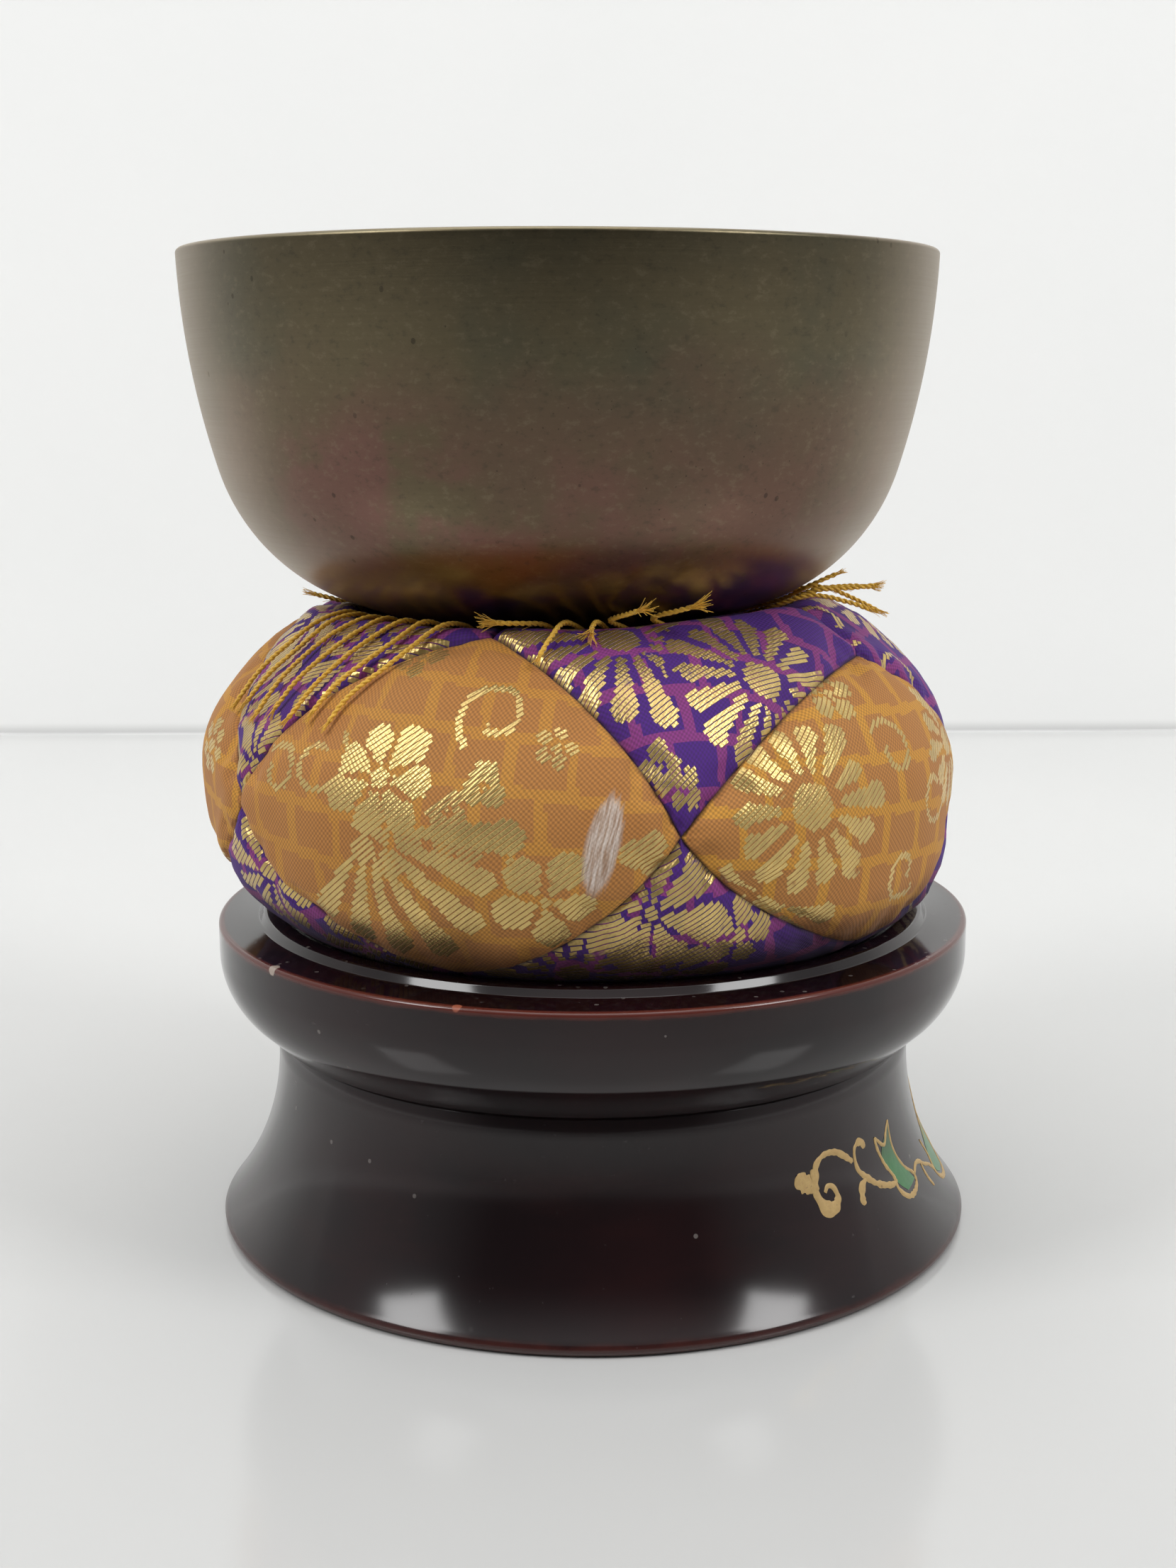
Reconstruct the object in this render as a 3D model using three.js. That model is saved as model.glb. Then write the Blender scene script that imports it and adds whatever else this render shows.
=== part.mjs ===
// A small standing bell of the singing-bowl kind: a bronze bowl resting on a patchwork cushion,
// which sits in the dished tray of a turned and lacquered stand.
// Millimetres, +Z up, origin at the middle of the stand's foot.
import * as THREE from "three";

// ---- Driving dimensions -------------------------------------------------------------------
const BOWL = {
  baseArc: 74, // outer radius of curvature of the bottom
  turnArc: 24, // of the turn from bottom to side
  sideArc: 96.5, // of the slightly barrelled side
  baseEnd: 21, // heading where the bottom arc meets the turn, degrees above level
  turnEnd: 73,
  sideEnd: 88,
  wall: 2.6,
  rimRound: 0.5,
  seatZ: 73.2, // lowest point of the bowl above the table
  offsetX: -4, // it stands a little off the middle of the cushion
  tilt: 0.004, // and leans a little, radians about +Y
};
const STAND = {
  footR: 47.4, // widest point of the foot
  contactR: 45.9, // outer edge of the face that it stands on
  footInnerR: 37,
  footRecess: 4,
  footRound: 1.2, // height of the rounded lower edge
  waistR: 39.9,
  waistZ: 22,
  flareArc: 32.5,
  jointZ: 24.7, // where the tray sits on the pedestal
  spigotR: 30,
  spigotH: 3,
};
const TRAY = {
  undersideR: 40.9,
  noseArc: 10, // rounding of the outer edge
  noseHeading: 48, // heading where the sloping underside meets that arc, degrees
  widestR: 46.8,
  widestZ: 35,
  topZ: 38.9,
  edgeRound: 0.5,
  ringFootR: 41.6, // raised ring round the dish
  ringInnerR: 39,
  ringH: 1.1,
  ringRound: 0.4,
  floorR: 26, // flat middle of the dish
  floorZ: 33.4,
  dishArc: 17.5,
};
const CUSHION = {
  r: 46.05,
  equatorZ: 57,
  upperH: 27.9, // height of the top above the widest line, before the bowl presses it in
  lowerH: 23,
  upperPower: 2, // superellipse powers: round above, fuller below
  lowerPower: 3,
  leanX: -1.6, // the soft body leans over its base
  leanFromZ: 40,
  leanToZ: 52,
  seatGap: 1.5, // room for the tie threads under the bowl
  crestBlend: 2.4, // how softly the crest rolls into the pressed seat
  topDimple: 3,
  baseDimple: 2.4,
  dimpleR: 6,
  cloth: 1, // thickness of a patch with its seam allowance
  coreGap: 1.3,
};
const SEAM_INSET = 0.006; // each patch stops short of its seam, as a share of its edge
const SEAM_AZIMUTHS = [14, 86, 158, 230, 302]; // where four patches cross on the widest line
const UPPER_CORNERS = [[62, 0.6], [122, 0.52], [194, 0.5], [266, 0.52], [342.7, 0.48]];
const LOWER_CORNERS = [[50, 0.56], [122, 0.54], [194, 0.55], [266, 0.56], [338, 0.54]];
const THREAD_R = 0.3;
const LAID = 0.75; // height of a thread's axis above the cloth that it lies on
// The cut ends of the tie, from the knot outwards. Each point is chosen by hand, as azimuth in
// degrees, distance from the cushion's axis and height above the cloth.
const THREADS = [
  [[-150, 3.3, LAID], [-118, 14, LAID], [-98, 24, LAID], [-91, 29.5, LAID], [-90, 33, 2.8]],
  [[-131, 3.3, LAID], [-98, 14, LAID], [-74, 24, LAID], [-64, 32, LAID], [-68, 43.6, LAID]],
  [[-112, 3.3, LAID], [-86, 14, LAID], [-66, 24, LAID], [-58, 32, LAID], [-63.5, 43.4, LAID]],
  [[-93, 3.3, LAID], [-74, 14, LAID], [-58, 24, LAID], [-52, 32, LAID], [-58.5, 43.8, LAID]],
  [[-74, 3.3, LAID], [-62, 14, LAID], [-50, 24, LAID], [-46, 32, LAID], [-53.5, 43.2, LAID]],
  [[-56, 3.3, LAID], [-50, 14, LAID], [-43, 24, LAID], [-40, 32, LAID], [-48.5, 43.6, LAID]],
  [[-38, 3.3, LAID], [-38, 14, LAID], [-35, 24, LAID], [-34, 32, LAID], [-44, 43, LAID]],
  [[-20, 3.3, LAID], [-25, 14, LAID], [-27, 24, LAID], [-28, 32, LAID], [-39.5, 43.4, LAID]],
  [[-2, 3.3, LAID], [-14, 14, LAID], [-6, 24, LAID], [-10, 30, LAID], [-20, 31.5, 1.2]],
  [[16, 3.3, LAID], [-2, 14, LAID], [2, 24, LAID], [-4, 30.5, LAID], [-7, 36.6, LAID]],
  [[34, 3.3, LAID], [10, 14, LAID], [9, 24, LAID], [4, 29.5, LAID], [1.5, 33.6, LAID]],
  [[52, 3.3, LAID], [24, 14, LAID], [15, 24, LAID], [7, 29.3, 1], [9.5, 31.5, 2.5], [13.2, 33, 4.8]],
  [[70, 3.3, LAID], [38, 14, LAID], [26, 24, LAID], [17.5, 29.3, 1], [20, 31.5, 2.7], [23.8, 33, 5.2]],
  [[88, 3.3, LAID], [72, 14, LAID], [64, 24, LAID], [63, 28.5, 1.1], [66, 32, 2.4], [69, 36, 3.8]],
  [[106, 3.3, LAID], [88, 14, LAID], [74, 24, LAID], [70.5, 28.5, 1.1], [73, 32, 3.4], [75.5, 34.6, 6.2]],
  [[124, 3.3, LAID], [103, 14, LAID], [84, 24, LAID], [77.5, 28.5, 1.1], [80, 31.6, 3], [82, 34.6, 5]],
  [[142, 3.3, LAID], [118, 14, LAID], [95, 24, LAID], [87, 28.4, 1.3], [87.5, 31, 4.4]],
  [[160, 3.3, LAID], [133, 14, LAID], [106, 24, LAID], [96, 28.6, 0.8], [93, 32, 1.4], [91.5, 37.2, 2.6]],
];
const KNOT = { r: 2.8, halfH: 1.5, z: 71.2 };
const BASE_KNOT = { r: 2.6, halfH: 1.1, z: 34.9 };
const STEM = { r: 0.7, hole: 1.1, endGap: 0.4 }; // the tie's shank through the stuffing
const GAP = 0.3;

const LATHE_SEGMENTS = 40;
const CORE_SEGMENTS = 36;
const CORE_RINGS = 24;
const THREAD_STEPS = 12;
const THREAD_SIDES = 8;

// ---- Materials ----------------------------------------------------------------------------
const material = (color, roughness, metalness) =>
  new THREE.MeshStandardMaterial({ color, roughness, metalness });
const bronze = () => material(0x5f5642, 0.35, 1);
const lacquer = () => material(0x25181a, 0.12, 0);
const purpleBrocade = () => material(0x3f2379, 0.7, 0);
const orangeBrocade = () => material(0xb97a38, 0.7, 0);
const cotton = () => material(0xe8e2d4, 0.95, 0);
const goldThread = () => material(0xcf9a2e, 0.6, 0);

const object = new THREE.Group();
const radians = THREE.MathUtils.degToRad;

function addMesh(name, geometry, finish, parent = object) {
  const mesh = new THREE.Mesh(geometry, finish);
  mesh.name = name;
  parent.add(mesh);
  return mesh;
}

// A closed outline [radius, height] turned about Z; it runs counter-clockwise in that plane.
function turned(outline, segments = LATHE_SEGMENTS) {
  const points = outline.map(([r, z]) => new THREE.Vector2(r, z));
  return new THREE.LatheGeometry(points, segments).rotateX(Math.PI / 2);
}

// Points on an arc about [cx, cz], from one angle to another in degrees, both ends included.
function arc(cx, cz, r, from, to, steps) {
  const points = [];
  for (let i = 0; i <= steps; i++) {
    const a = radians(from + ((to - from) * i) / steps);
    points.push([cx + r * Math.cos(a), cz + r * Math.sin(a)]);
  }
  return points;
}

// ---- Bowl ---------------------------------------------------------------------------------
// Three tangent arcs from the bottom to the rim, all moved inwards by the same distance.
const BOWL_ARCS = [
  { radius: BOWL.baseArc, from: 0, to: BOWL.baseEnd, steps: 3 },
  { radius: BOWL.turnArc, from: BOWL.baseEnd, to: BOWL.turnEnd, steps: 6 },
  { radius: BOWL.sideArc, from: BOWL.turnEnd, to: BOWL.sideEnd, steps: 4 },
];

function bowlWall(inwards) {
  const points = [[0, inwards]];
  for (const { radius, from, to, steps } of BOWL_ARCS) {
    const [r0, z0] = points[points.length - 1];
    const a0 = radians(from);
    for (let i = 1; i <= steps; i++) {
      const a = radians(from + ((to - from) * i) / steps);
      const reach = radius - inwards;
      points.push([
        r0 + reach * (Math.sin(a) - Math.sin(a0)),
        z0 + reach * (Math.cos(a0) - Math.cos(a)),
      ]);
    }
  }
  return points;
}

function bowlGeometry() {
  const outer = bowlWall(0);
  const inner = bowlWall(BOWL.wall);
  const [rimR, rimZ] = outer[outer.length - 1];
  const round = BOWL.rimRound;
  const lip = [
    ...arc(rimR - round, rimZ, round, 20, 90, 2),
    ...arc(rimR - BOWL.wall + round, rimZ, round, 90, 160, 2),
  ];
  return turned([...outer, ...lip, ...inner.reverse()]);
}

const bowlSeat = new THREE.Group();
bowlSeat.position.set(BOWL.offsetX, 0, BOWL.seatZ);
bowlSeat.rotation.y = BOWL.tilt;
object.add(bowlSeat);
addMesh("bowl", bowlGeometry(), bronze(), bowlSeat);

// Height of the bowl's underside over the point x, y.
function bowlUnderside(x, y) {
  const r = Math.min(Math.hypot(x - BOWL.offsetX, y), BOWL.baseArc - 1);
  const cap = BOWL.baseArc * Math.sin(radians(BOWL.baseEnd));
  const lean = -(x - BOWL.offsetX) * BOWL.tilt;
  if (r <= cap) {
    return BOWL.seatZ + lean + BOWL.baseArc - Math.sqrt(BOWL.baseArc ** 2 - r ** 2);
  }
  const start = BOWL.baseArc * (1 - Math.cos(radians(BOWL.baseEnd)));
  const heading = Math.sin(radians(BOWL.baseEnd)) + (r - cap) / BOWL.turnArc;
  const turn = Math.cos(Math.asin(Math.min(heading, 1)));
  return BOWL.seatZ + lean + start + BOWL.turnArc * (Math.cos(radians(BOWL.baseEnd)) - turn);
}

// ---- Stand --------------------------------------------------------------------------------
function pedestalGeometry() {
  const { flareArc, waistR, waistZ, jointZ, footRound } = STAND;
  const centreR = waistR + flareArc;
  const lowHeading = 180 + (Math.asin((waistZ - footRound) / flareArc) * 180) / Math.PI;
  const flare = arc(centreR, waistZ, flareArc, lowHeading, 180, 8);
  return turned([
    [0, STAND.footRecess],
    [STAND.footInnerR - 1, STAND.footRecess],
    [STAND.footInnerR, STAND.footRecess - 1],
    [STAND.footInnerR, 0],
    [STAND.contactR, 0],
    [STAND.footR - 0.4, 0.4],
    ...flare,
    [waistR, jointZ],
    [STAND.spigotR, jointZ],
    [STAND.spigotR, jointZ + STAND.spigotH],
    [0, jointZ + STAND.spigotH],
  ]);
}

function trayGeometry() {
  const t = TRAY;
  const under = STAND.jointZ + GAP;
  const socketR = STAND.spigotR + GAP;
  const ringTop = t.topZ + t.ringH;
  const round = t.ringRound;
  const dishTop = Math.acos((t.ringInnerR - t.floorR) / t.dishArc) * (180 / Math.PI);
  return turned([
    [0, under + STAND.spigotH],
    [socketR, under + STAND.spigotH],
    [socketR, under],
    [t.undersideR, under],
    ...arc(t.widestR - t.noseArc, t.widestZ, t.noseArc, t.noseHeading - 90, 0, 4),
    ...arc(t.widestR - t.edgeRound, t.topZ - t.edgeRound, t.edgeRound, 0, 90, 2),
    [t.ringFootR, t.topZ],
    ...arc(t.ringFootR - round - 0.2, ringTop - round, round, 0, 90, 2),
    ...arc(t.ringInnerR + round, ringTop - round, round, 90, 180, 2),
    ...arc(t.floorR, t.floorZ + t.dishArc, t.dishArc, -dishTop, -90, 5),
    [0, t.floorZ],
  ]);
}

addMesh("stand_pedestal", pedestalGeometry(), lacquer());
addMesh("stand_tray", trayGeometry(), lacquer());

// ---- Cushion surface ----------------------------------------------------------------------
const HALF_TURN = Math.PI;
const QUARTER = Math.PI / 2;

function softMin(a, b, blend) {
  const h = Math.max(blend - Math.abs(a - b), 0) / blend;
  return Math.min(a, b) - (h * h * blend) / 4;
}

// A point of the outside; azimuth 0 faces -Y and grows towards +X, polar runs from the top (0)
// by the widest line (a quarter turn) to the bottom (half a turn).
function cushionPoint(azimuth, polar) {
  const above = polar <= QUARTER;
  const power = above ? CUSHION.upperPower : CUSHION.lowerPower;
  const height = above ? CUSHION.upperH : -CUSHION.lowerH;
  const across = Math.sin(polar);
  const up = Math.abs(Math.cos(polar));
  const size = (across ** power + up ** power) ** (-1 / power);
  const r = CUSHION.r * across * size;
  let z = CUSHION.equatorZ + height * up * size;
  const lean = THREE.MathUtils.smoothstep(z, CUSHION.leanFromZ, CUSHION.leanToZ);
  const x = CUSHION.leanX * lean + r * Math.sin(azimuth);
  const y = -r * Math.cos(azimuth);
  const dimple = Math.exp(-((r / CUSHION.dimpleR) ** 2));
  if (above) {
    z = softMin(z, bowlUnderside(x, y) - CUSHION.seatGap, CUSHION.crestBlend);
    z -= CUSHION.topDimple * dimple;
  } else {
    z += CUSHION.baseDimple * dimple;
  }
  return new THREE.Vector3(x, y, z);
}

// The same point moved in from the outside along the surface's normal.
function cushionInside(azimuth, polar, depth) {
  const step = 0.02;
  const p = cushionPoint(azimuth, polar);
  const east = cushionPoint(azimuth + step, polar).sub(cushionPoint(azimuth - step, polar));
  const south = cushionPoint(azimuth, Math.min(polar + step, HALF_TURN - 1e-3)).sub(
    cushionPoint(azimuth, Math.max(polar - step, 1e-3)),
  );
  const out = south.cross(east).normalize();
  return p.addScaledVector(out, -depth);
}

// ---- Stuffing -----------------------------------------------------------------------------
function coreGeometry() {
  const depth = CUSHION.cloth + CUSHION.coreGap;
  const first = Math.asin(STEM.hole / CUSHION.r);
  const points = [];
  const faces = [];
  for (let j = 0; j <= CORE_RINGS; j++) {
    const polar = first + ((HALF_TURN - 2 * first) * j) / CORE_RINGS;
    for (let i = 0; i < CORE_SEGMENTS; i++) {
      const azimuth = (2 * Math.PI * i) / CORE_SEGMENTS;
      const onHole = j === 0 || j === CORE_RINGS;
      const p = cushionInside(azimuth, polar, depth);
      if (onHole) {
        p.x = (j === 0 ? CUSHION.leanX : 0) + STEM.hole * Math.sin(azimuth);
        p.y = -STEM.hole * Math.cos(azimuth);
      }
      points.push(p);
    }
  }
  const rings = CORE_RINGS + 1;
  for (let j = 0; j < rings; j++) {
    const below = (j + 1) % rings; // the last band is the wall of the hole for the tie
    for (let i = 0; i < CORE_SEGMENTS; i++) {
      const next = (i + 1) % CORE_SEGMENTS;
      const a = j * CORE_SEGMENTS + i;
      const b = j * CORE_SEGMENTS + next;
      const c = below * CORE_SEGMENTS + next;
      const d = below * CORE_SEGMENTS + i;
      faces.push(a, d, b, b, d, c);
    }
  }
  return new THREE.BufferGeometry().setFromPoints(points).setIndex(faces);
}

addMesh("cushion_core", coreGeometry(), cotton());

// ---- Patches ------------------------------------------------------------------------------
// Corners are [azimuth in degrees, share of the way from the pole to the widest line]. Seen
// along the axis, a seam is a straight line between two corners.
const onPlane = ([azimuth, share]) =>
  new THREE.Vector2(share * Math.sin(radians(azimuth)), share * Math.cos(radians(azimuth)));

function fromPlane(flat, lower) {
  const polar = Math.min(flat.length(), 1) * QUARTER;
  return [Math.atan2(flat.x, flat.y), lower ? HALF_TURN - polar : polar];
}

// Turns an angle by whole turns until it is within half a turn of another.
const nearTo = (angle, other) => angle - 2 * Math.PI * Math.round((angle - other) / (2 * Math.PI));

// A closed shell of the cloth's thickness over a square grid; at(u, v) gives azimuth and polar.
function patchGeometry(at, cells, flip) {
  const points = [];
  const faces = [];
  const side = cells + 1;
  const share = (i) => SEAM_INSET + ((1 - 2 * SEAM_INSET) * i) / cells;
  for (const depth of [0, CUSHION.cloth]) {
    for (let j = 0; j < side; j++) {
      for (let i = 0; i < side; i++) {
        const [azimuth, polar] = at(share(i), share(j));
        points.push(cushionInside(azimuth, polar, depth));
      }
    }
  }
  const quad = (a, b, c, d) => {
    if (flip) faces.push(a, c, b, a, d, c);
    else faces.push(a, b, c, a, c, d);
  };
  const top = (i, j) => j * side + i;
  const under = (i, j) => side * side + j * side + i;
  for (let j = 0; j < cells; j++) {
    for (let i = 0; i < cells; i++) {
      quad(top(i, j), top(i + 1, j), top(i + 1, j + 1), top(i, j + 1));
      quad(under(i, j), under(i, j + 1), under(i + 1, j + 1), under(i + 1, j));
    }
  }
  for (let i = 0; i < cells; i++) {
    quad(top(i, 0), under(i, 0), under(i + 1, 0), top(i + 1, 0));
    quad(top(i + 1, cells), under(i + 1, cells), under(i, cells), top(i, cells));
    quad(top(0, i + 1), under(0, i + 1), under(0, i), top(0, i));
    quad(top(cells, i), under(cells, i), under(cells, i + 1), top(cells, i + 1));
  }
  return new THREE.BufferGeometry().setFromPoints(points).setIndex(faces);
}

// A kite from a pole to the crossing of four seams on the widest line.
function kite(before, crossing, after, lower) {
  const pole = new THREE.Vector2(0, 0);
  const [b, c, a] = [before, crossing, after].map(onPlane);
  return (u, v) => {
    const near = pole.clone().lerp(a, u);
    const far = b.clone().lerp(c, u);
    return fromPlane(near.lerp(far, v), lower);
  };
}

// A four-cornered side patch between two crossings, the upper corner and the lower one.
function sidePatch(left, upper, right, lowerCorner) {
  const middle = radians(upper[0]);
  const along = (from, to, lower) => (w) => {
    const [azimuth, polar] = fromPlane(onPlane(from).lerp(onPlane(to), w), lower);
    return new THREE.Vector2(nearTo(azimuth, middle), polar);
  };
  const leftUpper = along(left, upper, false);
  const upperRight = along(upper, right, false);
  const leftLower = along(left, lowerCorner, true);
  const lowerRight = along(lowerCorner, right, true);
  return (u, v) => {
    const across = leftUpper(u).lerp(lowerRight(u), v);
    const down = leftLower(v).lerp(upperRight(v), u);
    const nearEdge = leftUpper(0).lerp(leftUpper(1), u);
    const farEdge = leftLower(1).lerp(lowerRight(1), u);
    const corners = nearEdge.lerp(farEdge, v);
    const p = across.add(down).sub(corners);
    return [p.x, p.y];
  };
}

const FINE_CELLS = 8;
const BASE_CELLS = 6;
SEAM_AZIMUTHS.forEach((azimuth, k) => {
  const count = SEAM_AZIMUTHS.length;
  const previous = (k + count - 1) % count;
  const next = (k + 1) % count;
  const crossing = [azimuth, 1];
  const number = k + 1;
  const upper = kite(UPPER_CORNERS[previous], crossing, UPPER_CORNERS[k], false);
  const lower = kite(LOWER_CORNERS[previous], crossing, LOWER_CORNERS[k], true);
  const side = sidePatch(crossing, UPPER_CORNERS[k], [SEAM_AZIMUTHS[next], 1], LOWER_CORNERS[k]);
  addMesh(`upper_patch_${number}`, patchGeometry(upper, FINE_CELLS, true), purpleBrocade());
  addMesh(`side_patch_${number}`, patchGeometry(side, FINE_CELLS, true), orangeBrocade());
  addMesh(`lower_patch_${number}`, patchGeometry(lower, BASE_CELLS, false), purpleBrocade());
});

// ---- Tie: a stem through the stuffing, a knot in each dimple and the cut thread ends --------
function knotGeometry({ r, halfH }) {
  return new THREE.SphereGeometry(r, 16, 8).rotateX(Math.PI / 2).scale(1, 1, halfH / r);
}

const topCentre = cushionPoint(0, 0);
addMesh("tie_knot", knotGeometry(KNOT), goldThread()).position.set(topCentre.x, 0, KNOT.z);
addMesh("tie_base_knot", knotGeometry(BASE_KNOT), goldThread()).position.z = BASE_KNOT.z;

function stemMesh() {
  const inset = CUSHION.cloth + STEM.endGap;
  const top = cushionPoint(0, 0);
  const bottom = cushionPoint(0, HALF_TURN);
  top.z -= inset;
  bottom.z += inset;
  const shank = new THREE.CylinderGeometry(STEM.r, STEM.r, top.distanceTo(bottom), 12);
  const mesh = addMesh("tie_stem", shank, goldThread());
  mesh.position.copy(top).add(bottom).multiplyScalar(0.5);
  mesh.quaternion.setFromUnitVectors(new THREE.Vector3(0, 1, 0), top.sub(bottom).normalize());
}

// A thread follows its hand-chosen points smoothly over the cloth.
function threadPath(points) {
  const plan = new THREE.CatmullRomCurve3(
    points.map(([azimuth, r, lift]) => {
      const a = radians(azimuth);
      return new THREE.Vector3(r * Math.sin(a), -r * Math.cos(a), lift);
    }),
  );
  const laid = plan.getSpacedPoints(THREAD_STEPS).map(({ x, y, z: lift }) => {
    const polar = Math.asin(Math.hypot(x, y) / CUSHION.r);
    return cushionInside(Math.atan2(x, -y), polar, -lift);
  });
  return new THREE.CatmullRomCurve3(laid);
}

function threadGeometry(points) {
  const section = new THREE.Shape();
  for (let i = 0; i < THREAD_SIDES; i++) {
    const a = (2 * Math.PI * i) / THREAD_SIDES;
    const corner = [THREAD_R * Math.cos(a), THREAD_R * Math.sin(a)];
    if (i === 0) section.moveTo(...corner);
    else section.lineTo(...corner);
  }
  section.closePath();
  const extrudePath = threadPath(points);
  return new THREE.ExtrudeGeometry(section, { steps: THREAD_STEPS, extrudePath });
}

stemMesh();
THREADS.forEach((points, i) => {
  const name = `tie_thread_${String(i + 1).padStart(2, "0")}`;
  addMesh(name, threadGeometry(points), goldThread());
});

export default object;
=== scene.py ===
import math

import bpy
import numpy as np
from mathutils import Matrix, Vector


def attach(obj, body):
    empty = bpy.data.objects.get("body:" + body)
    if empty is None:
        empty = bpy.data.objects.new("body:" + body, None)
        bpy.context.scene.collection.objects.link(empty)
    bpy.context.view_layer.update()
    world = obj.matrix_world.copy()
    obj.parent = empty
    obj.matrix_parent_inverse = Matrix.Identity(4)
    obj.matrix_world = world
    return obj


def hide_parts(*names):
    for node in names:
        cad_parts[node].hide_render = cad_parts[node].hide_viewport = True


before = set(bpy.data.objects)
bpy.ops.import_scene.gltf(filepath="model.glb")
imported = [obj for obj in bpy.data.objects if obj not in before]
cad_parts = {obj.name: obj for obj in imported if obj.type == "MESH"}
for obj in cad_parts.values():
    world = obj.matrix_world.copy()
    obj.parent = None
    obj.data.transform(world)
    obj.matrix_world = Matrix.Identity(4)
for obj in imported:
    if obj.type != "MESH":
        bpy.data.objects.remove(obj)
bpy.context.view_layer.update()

# The looks of a small standing bell: a brushed bronze bowl on a patchwork brocade cushion, on a
# turned and lacquered stand. Shapes are worked out in millimetres and shown in metres.
MM = 0.001
TAU = 2 * math.pi
QUARTER = math.pi / 2

BOWL = {
    "base_arc": 74, "turn_arc": 24, "side_arc": 96.5,
    "base_end": math.radians(21), "turn_end": math.radians(73), "side_end": math.radians(88),
    "wall": 2.6, "rim_round": 0.5, "seat_z": 73.2, "offset_x": -4, "tilt": 0.004,
}
CUSHION = {
    "r": 46.05, "equator_z": 57, "upper_h": 27.9, "lower_h": 23, "upper_power": 2,
    "lower_power": 3, "lean_x": -1.6, "lean_from": 40, "lean_to": 52, "seat_gap": 1.5,
    "crest_blend": 2.4, "top_dimple": 3, "base_dimple": 2.4, "dimple_r": 6,
}
SEAM_AZIMUTHS = [14, 86, 158, 230, 302]
UPPER_CORNERS = [(62, 0.6), (122, 0.52), (194, 0.5), (266, 0.52), (342.7, 0.48)]
LOWER_CORNERS = [(50, 0.56), (122, 0.54), (194, 0.55), (266, 0.56), (338, 0.54)]
LAID = 0.75
# The cut ends of the tie, from the knot outwards: azimuth in degrees, distance from the
# cushion's axis and height above the cloth, in millimetres.
THREADS = [
    [(-150, 3.3, LAID), (-118, 14, LAID), (-98, 24, LAID), (-91, 29.5, LAID), (-90, 33, 2.8)],
    [(-131, 3.3, LAID), (-98, 14, LAID), (-74, 24, LAID), (-64, 32, LAID), (-68, 43.6, LAID)],
    [(-112, 3.3, LAID), (-86, 14, LAID), (-66, 24, LAID), (-58, 32, LAID), (-63.5, 43.4, LAID)],
    [(-93, 3.3, LAID), (-74, 14, LAID), (-58, 24, LAID), (-52, 32, LAID), (-58.5, 43.8, LAID)],
    [(-74, 3.3, LAID), (-62, 14, LAID), (-50, 24, LAID), (-46, 32, LAID), (-53.5, 43.2, LAID)],
    [(-56, 3.3, LAID), (-50, 14, LAID), (-43, 24, LAID), (-40, 32, LAID), (-48.5, 43.6, LAID)],
    [(-38, 3.3, LAID), (-38, 14, LAID), (-35, 24, LAID), (-34, 32, LAID), (-44, 43, LAID)],
    [(-20, 3.3, LAID), (-25, 14, LAID), (-27, 24, LAID), (-28, 32, LAID), (-39.5, 43.4, LAID)],
    [(-2, 3.3, LAID), (-14, 14, LAID), (-6, 24, LAID), (-10, 30, LAID), (-20, 31.5, 1.2)],
    [(16, 3.3, LAID), (-2, 14, LAID), (2, 24, LAID), (-4, 30.5, LAID), (-7, 36.6, LAID)],
    [(34, 3.3, LAID), (10, 14, LAID), (9, 24, LAID), (4, 29.5, LAID), (1.5, 33.6, LAID)],
    [(52, 3.3, LAID), (24, 14, LAID), (15, 24, LAID), (7, 29.3, 1), (9.5, 31.5, 2.5), (13.2, 33, 4.8)],
    [(70, 3.3, LAID), (38, 14, LAID), (26, 24, LAID), (17.5, 29.3, 1), (20, 31.5, 2.7), (23.8, 33, 5.2)],
    [(88, 3.3, LAID), (72, 14, LAID), (64, 24, LAID), (63, 28.5, 1.1), (66, 32, 2.4), (69, 36, 3.8)],
    [(106, 3.3, LAID), (88, 14, LAID), (74, 24, LAID), (70.5, 28.5, 1.1), (73, 32, 3.4), (75.5, 34.6, 6.2)],
    [(124, 3.3, LAID), (103, 14, LAID), (84, 24, LAID), (77.5, 28.5, 1.1), (80, 31.6, 3), (82, 34.6, 5)],
    [(142, 3.3, LAID), (118, 14, LAID), (95, 24, LAID), (87, 28.4, 1.3), (87.5, 31, 4.4)],
    [(160, 3.3, LAID), (133, 14, LAID), (106, 24, LAID), (96, 28.6, 0.8), (93, 32, 1.4), (91.5, 37.2, 2.6)],
]
BUSHY = (9, 11, 12, 13)  # the threads whose cut ends have opened into a tuft
THREAD = {"diameter": 0.6, "radius": 0.31, "twist": 1.5, "sunk": 0.4, "tuft": 2.4, "frayed": 1.7}
# The sewn cover: the groove along its seams, the crown between them, and its smaller dents.
SEWN = {
    "groove": 0.8, "groove_width": 0.5, "crown": 0.3, "crown_reach": 6, "inset": 0.42,
    "pucker": 0.17, "dent": 0.24, "bowl_gap": 0.18, "thickness": 0.7, "swell": 0.45,
}


# ---- Small helpers ------------------------------------------------------------------------
def unit(v):
    return v / np.maximum(np.linalg.norm(v, axis=-1, keepdims=True), 1e-12)


def smoothstep(x, low, high):
    t = np.clip((x - low) / (high - low), 0, 1)
    return t * t * (3 - 2 * t)


def rotated(u, v, degrees):
    """A point's coordinates on axes that are turned by an angle."""
    c, s = math.cos(math.radians(degrees)), math.sin(math.radians(degrees))
    return u * c + v * s, v * c - u * s


def about_axis(r, azimuth, z):
    """A point by its distance from the upright axis and its azimuth in degrees; 0 faces -Y."""
    return r * math.sin(math.radians(azimuth)), -r * math.cos(math.radians(azimuth)), z


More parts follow.
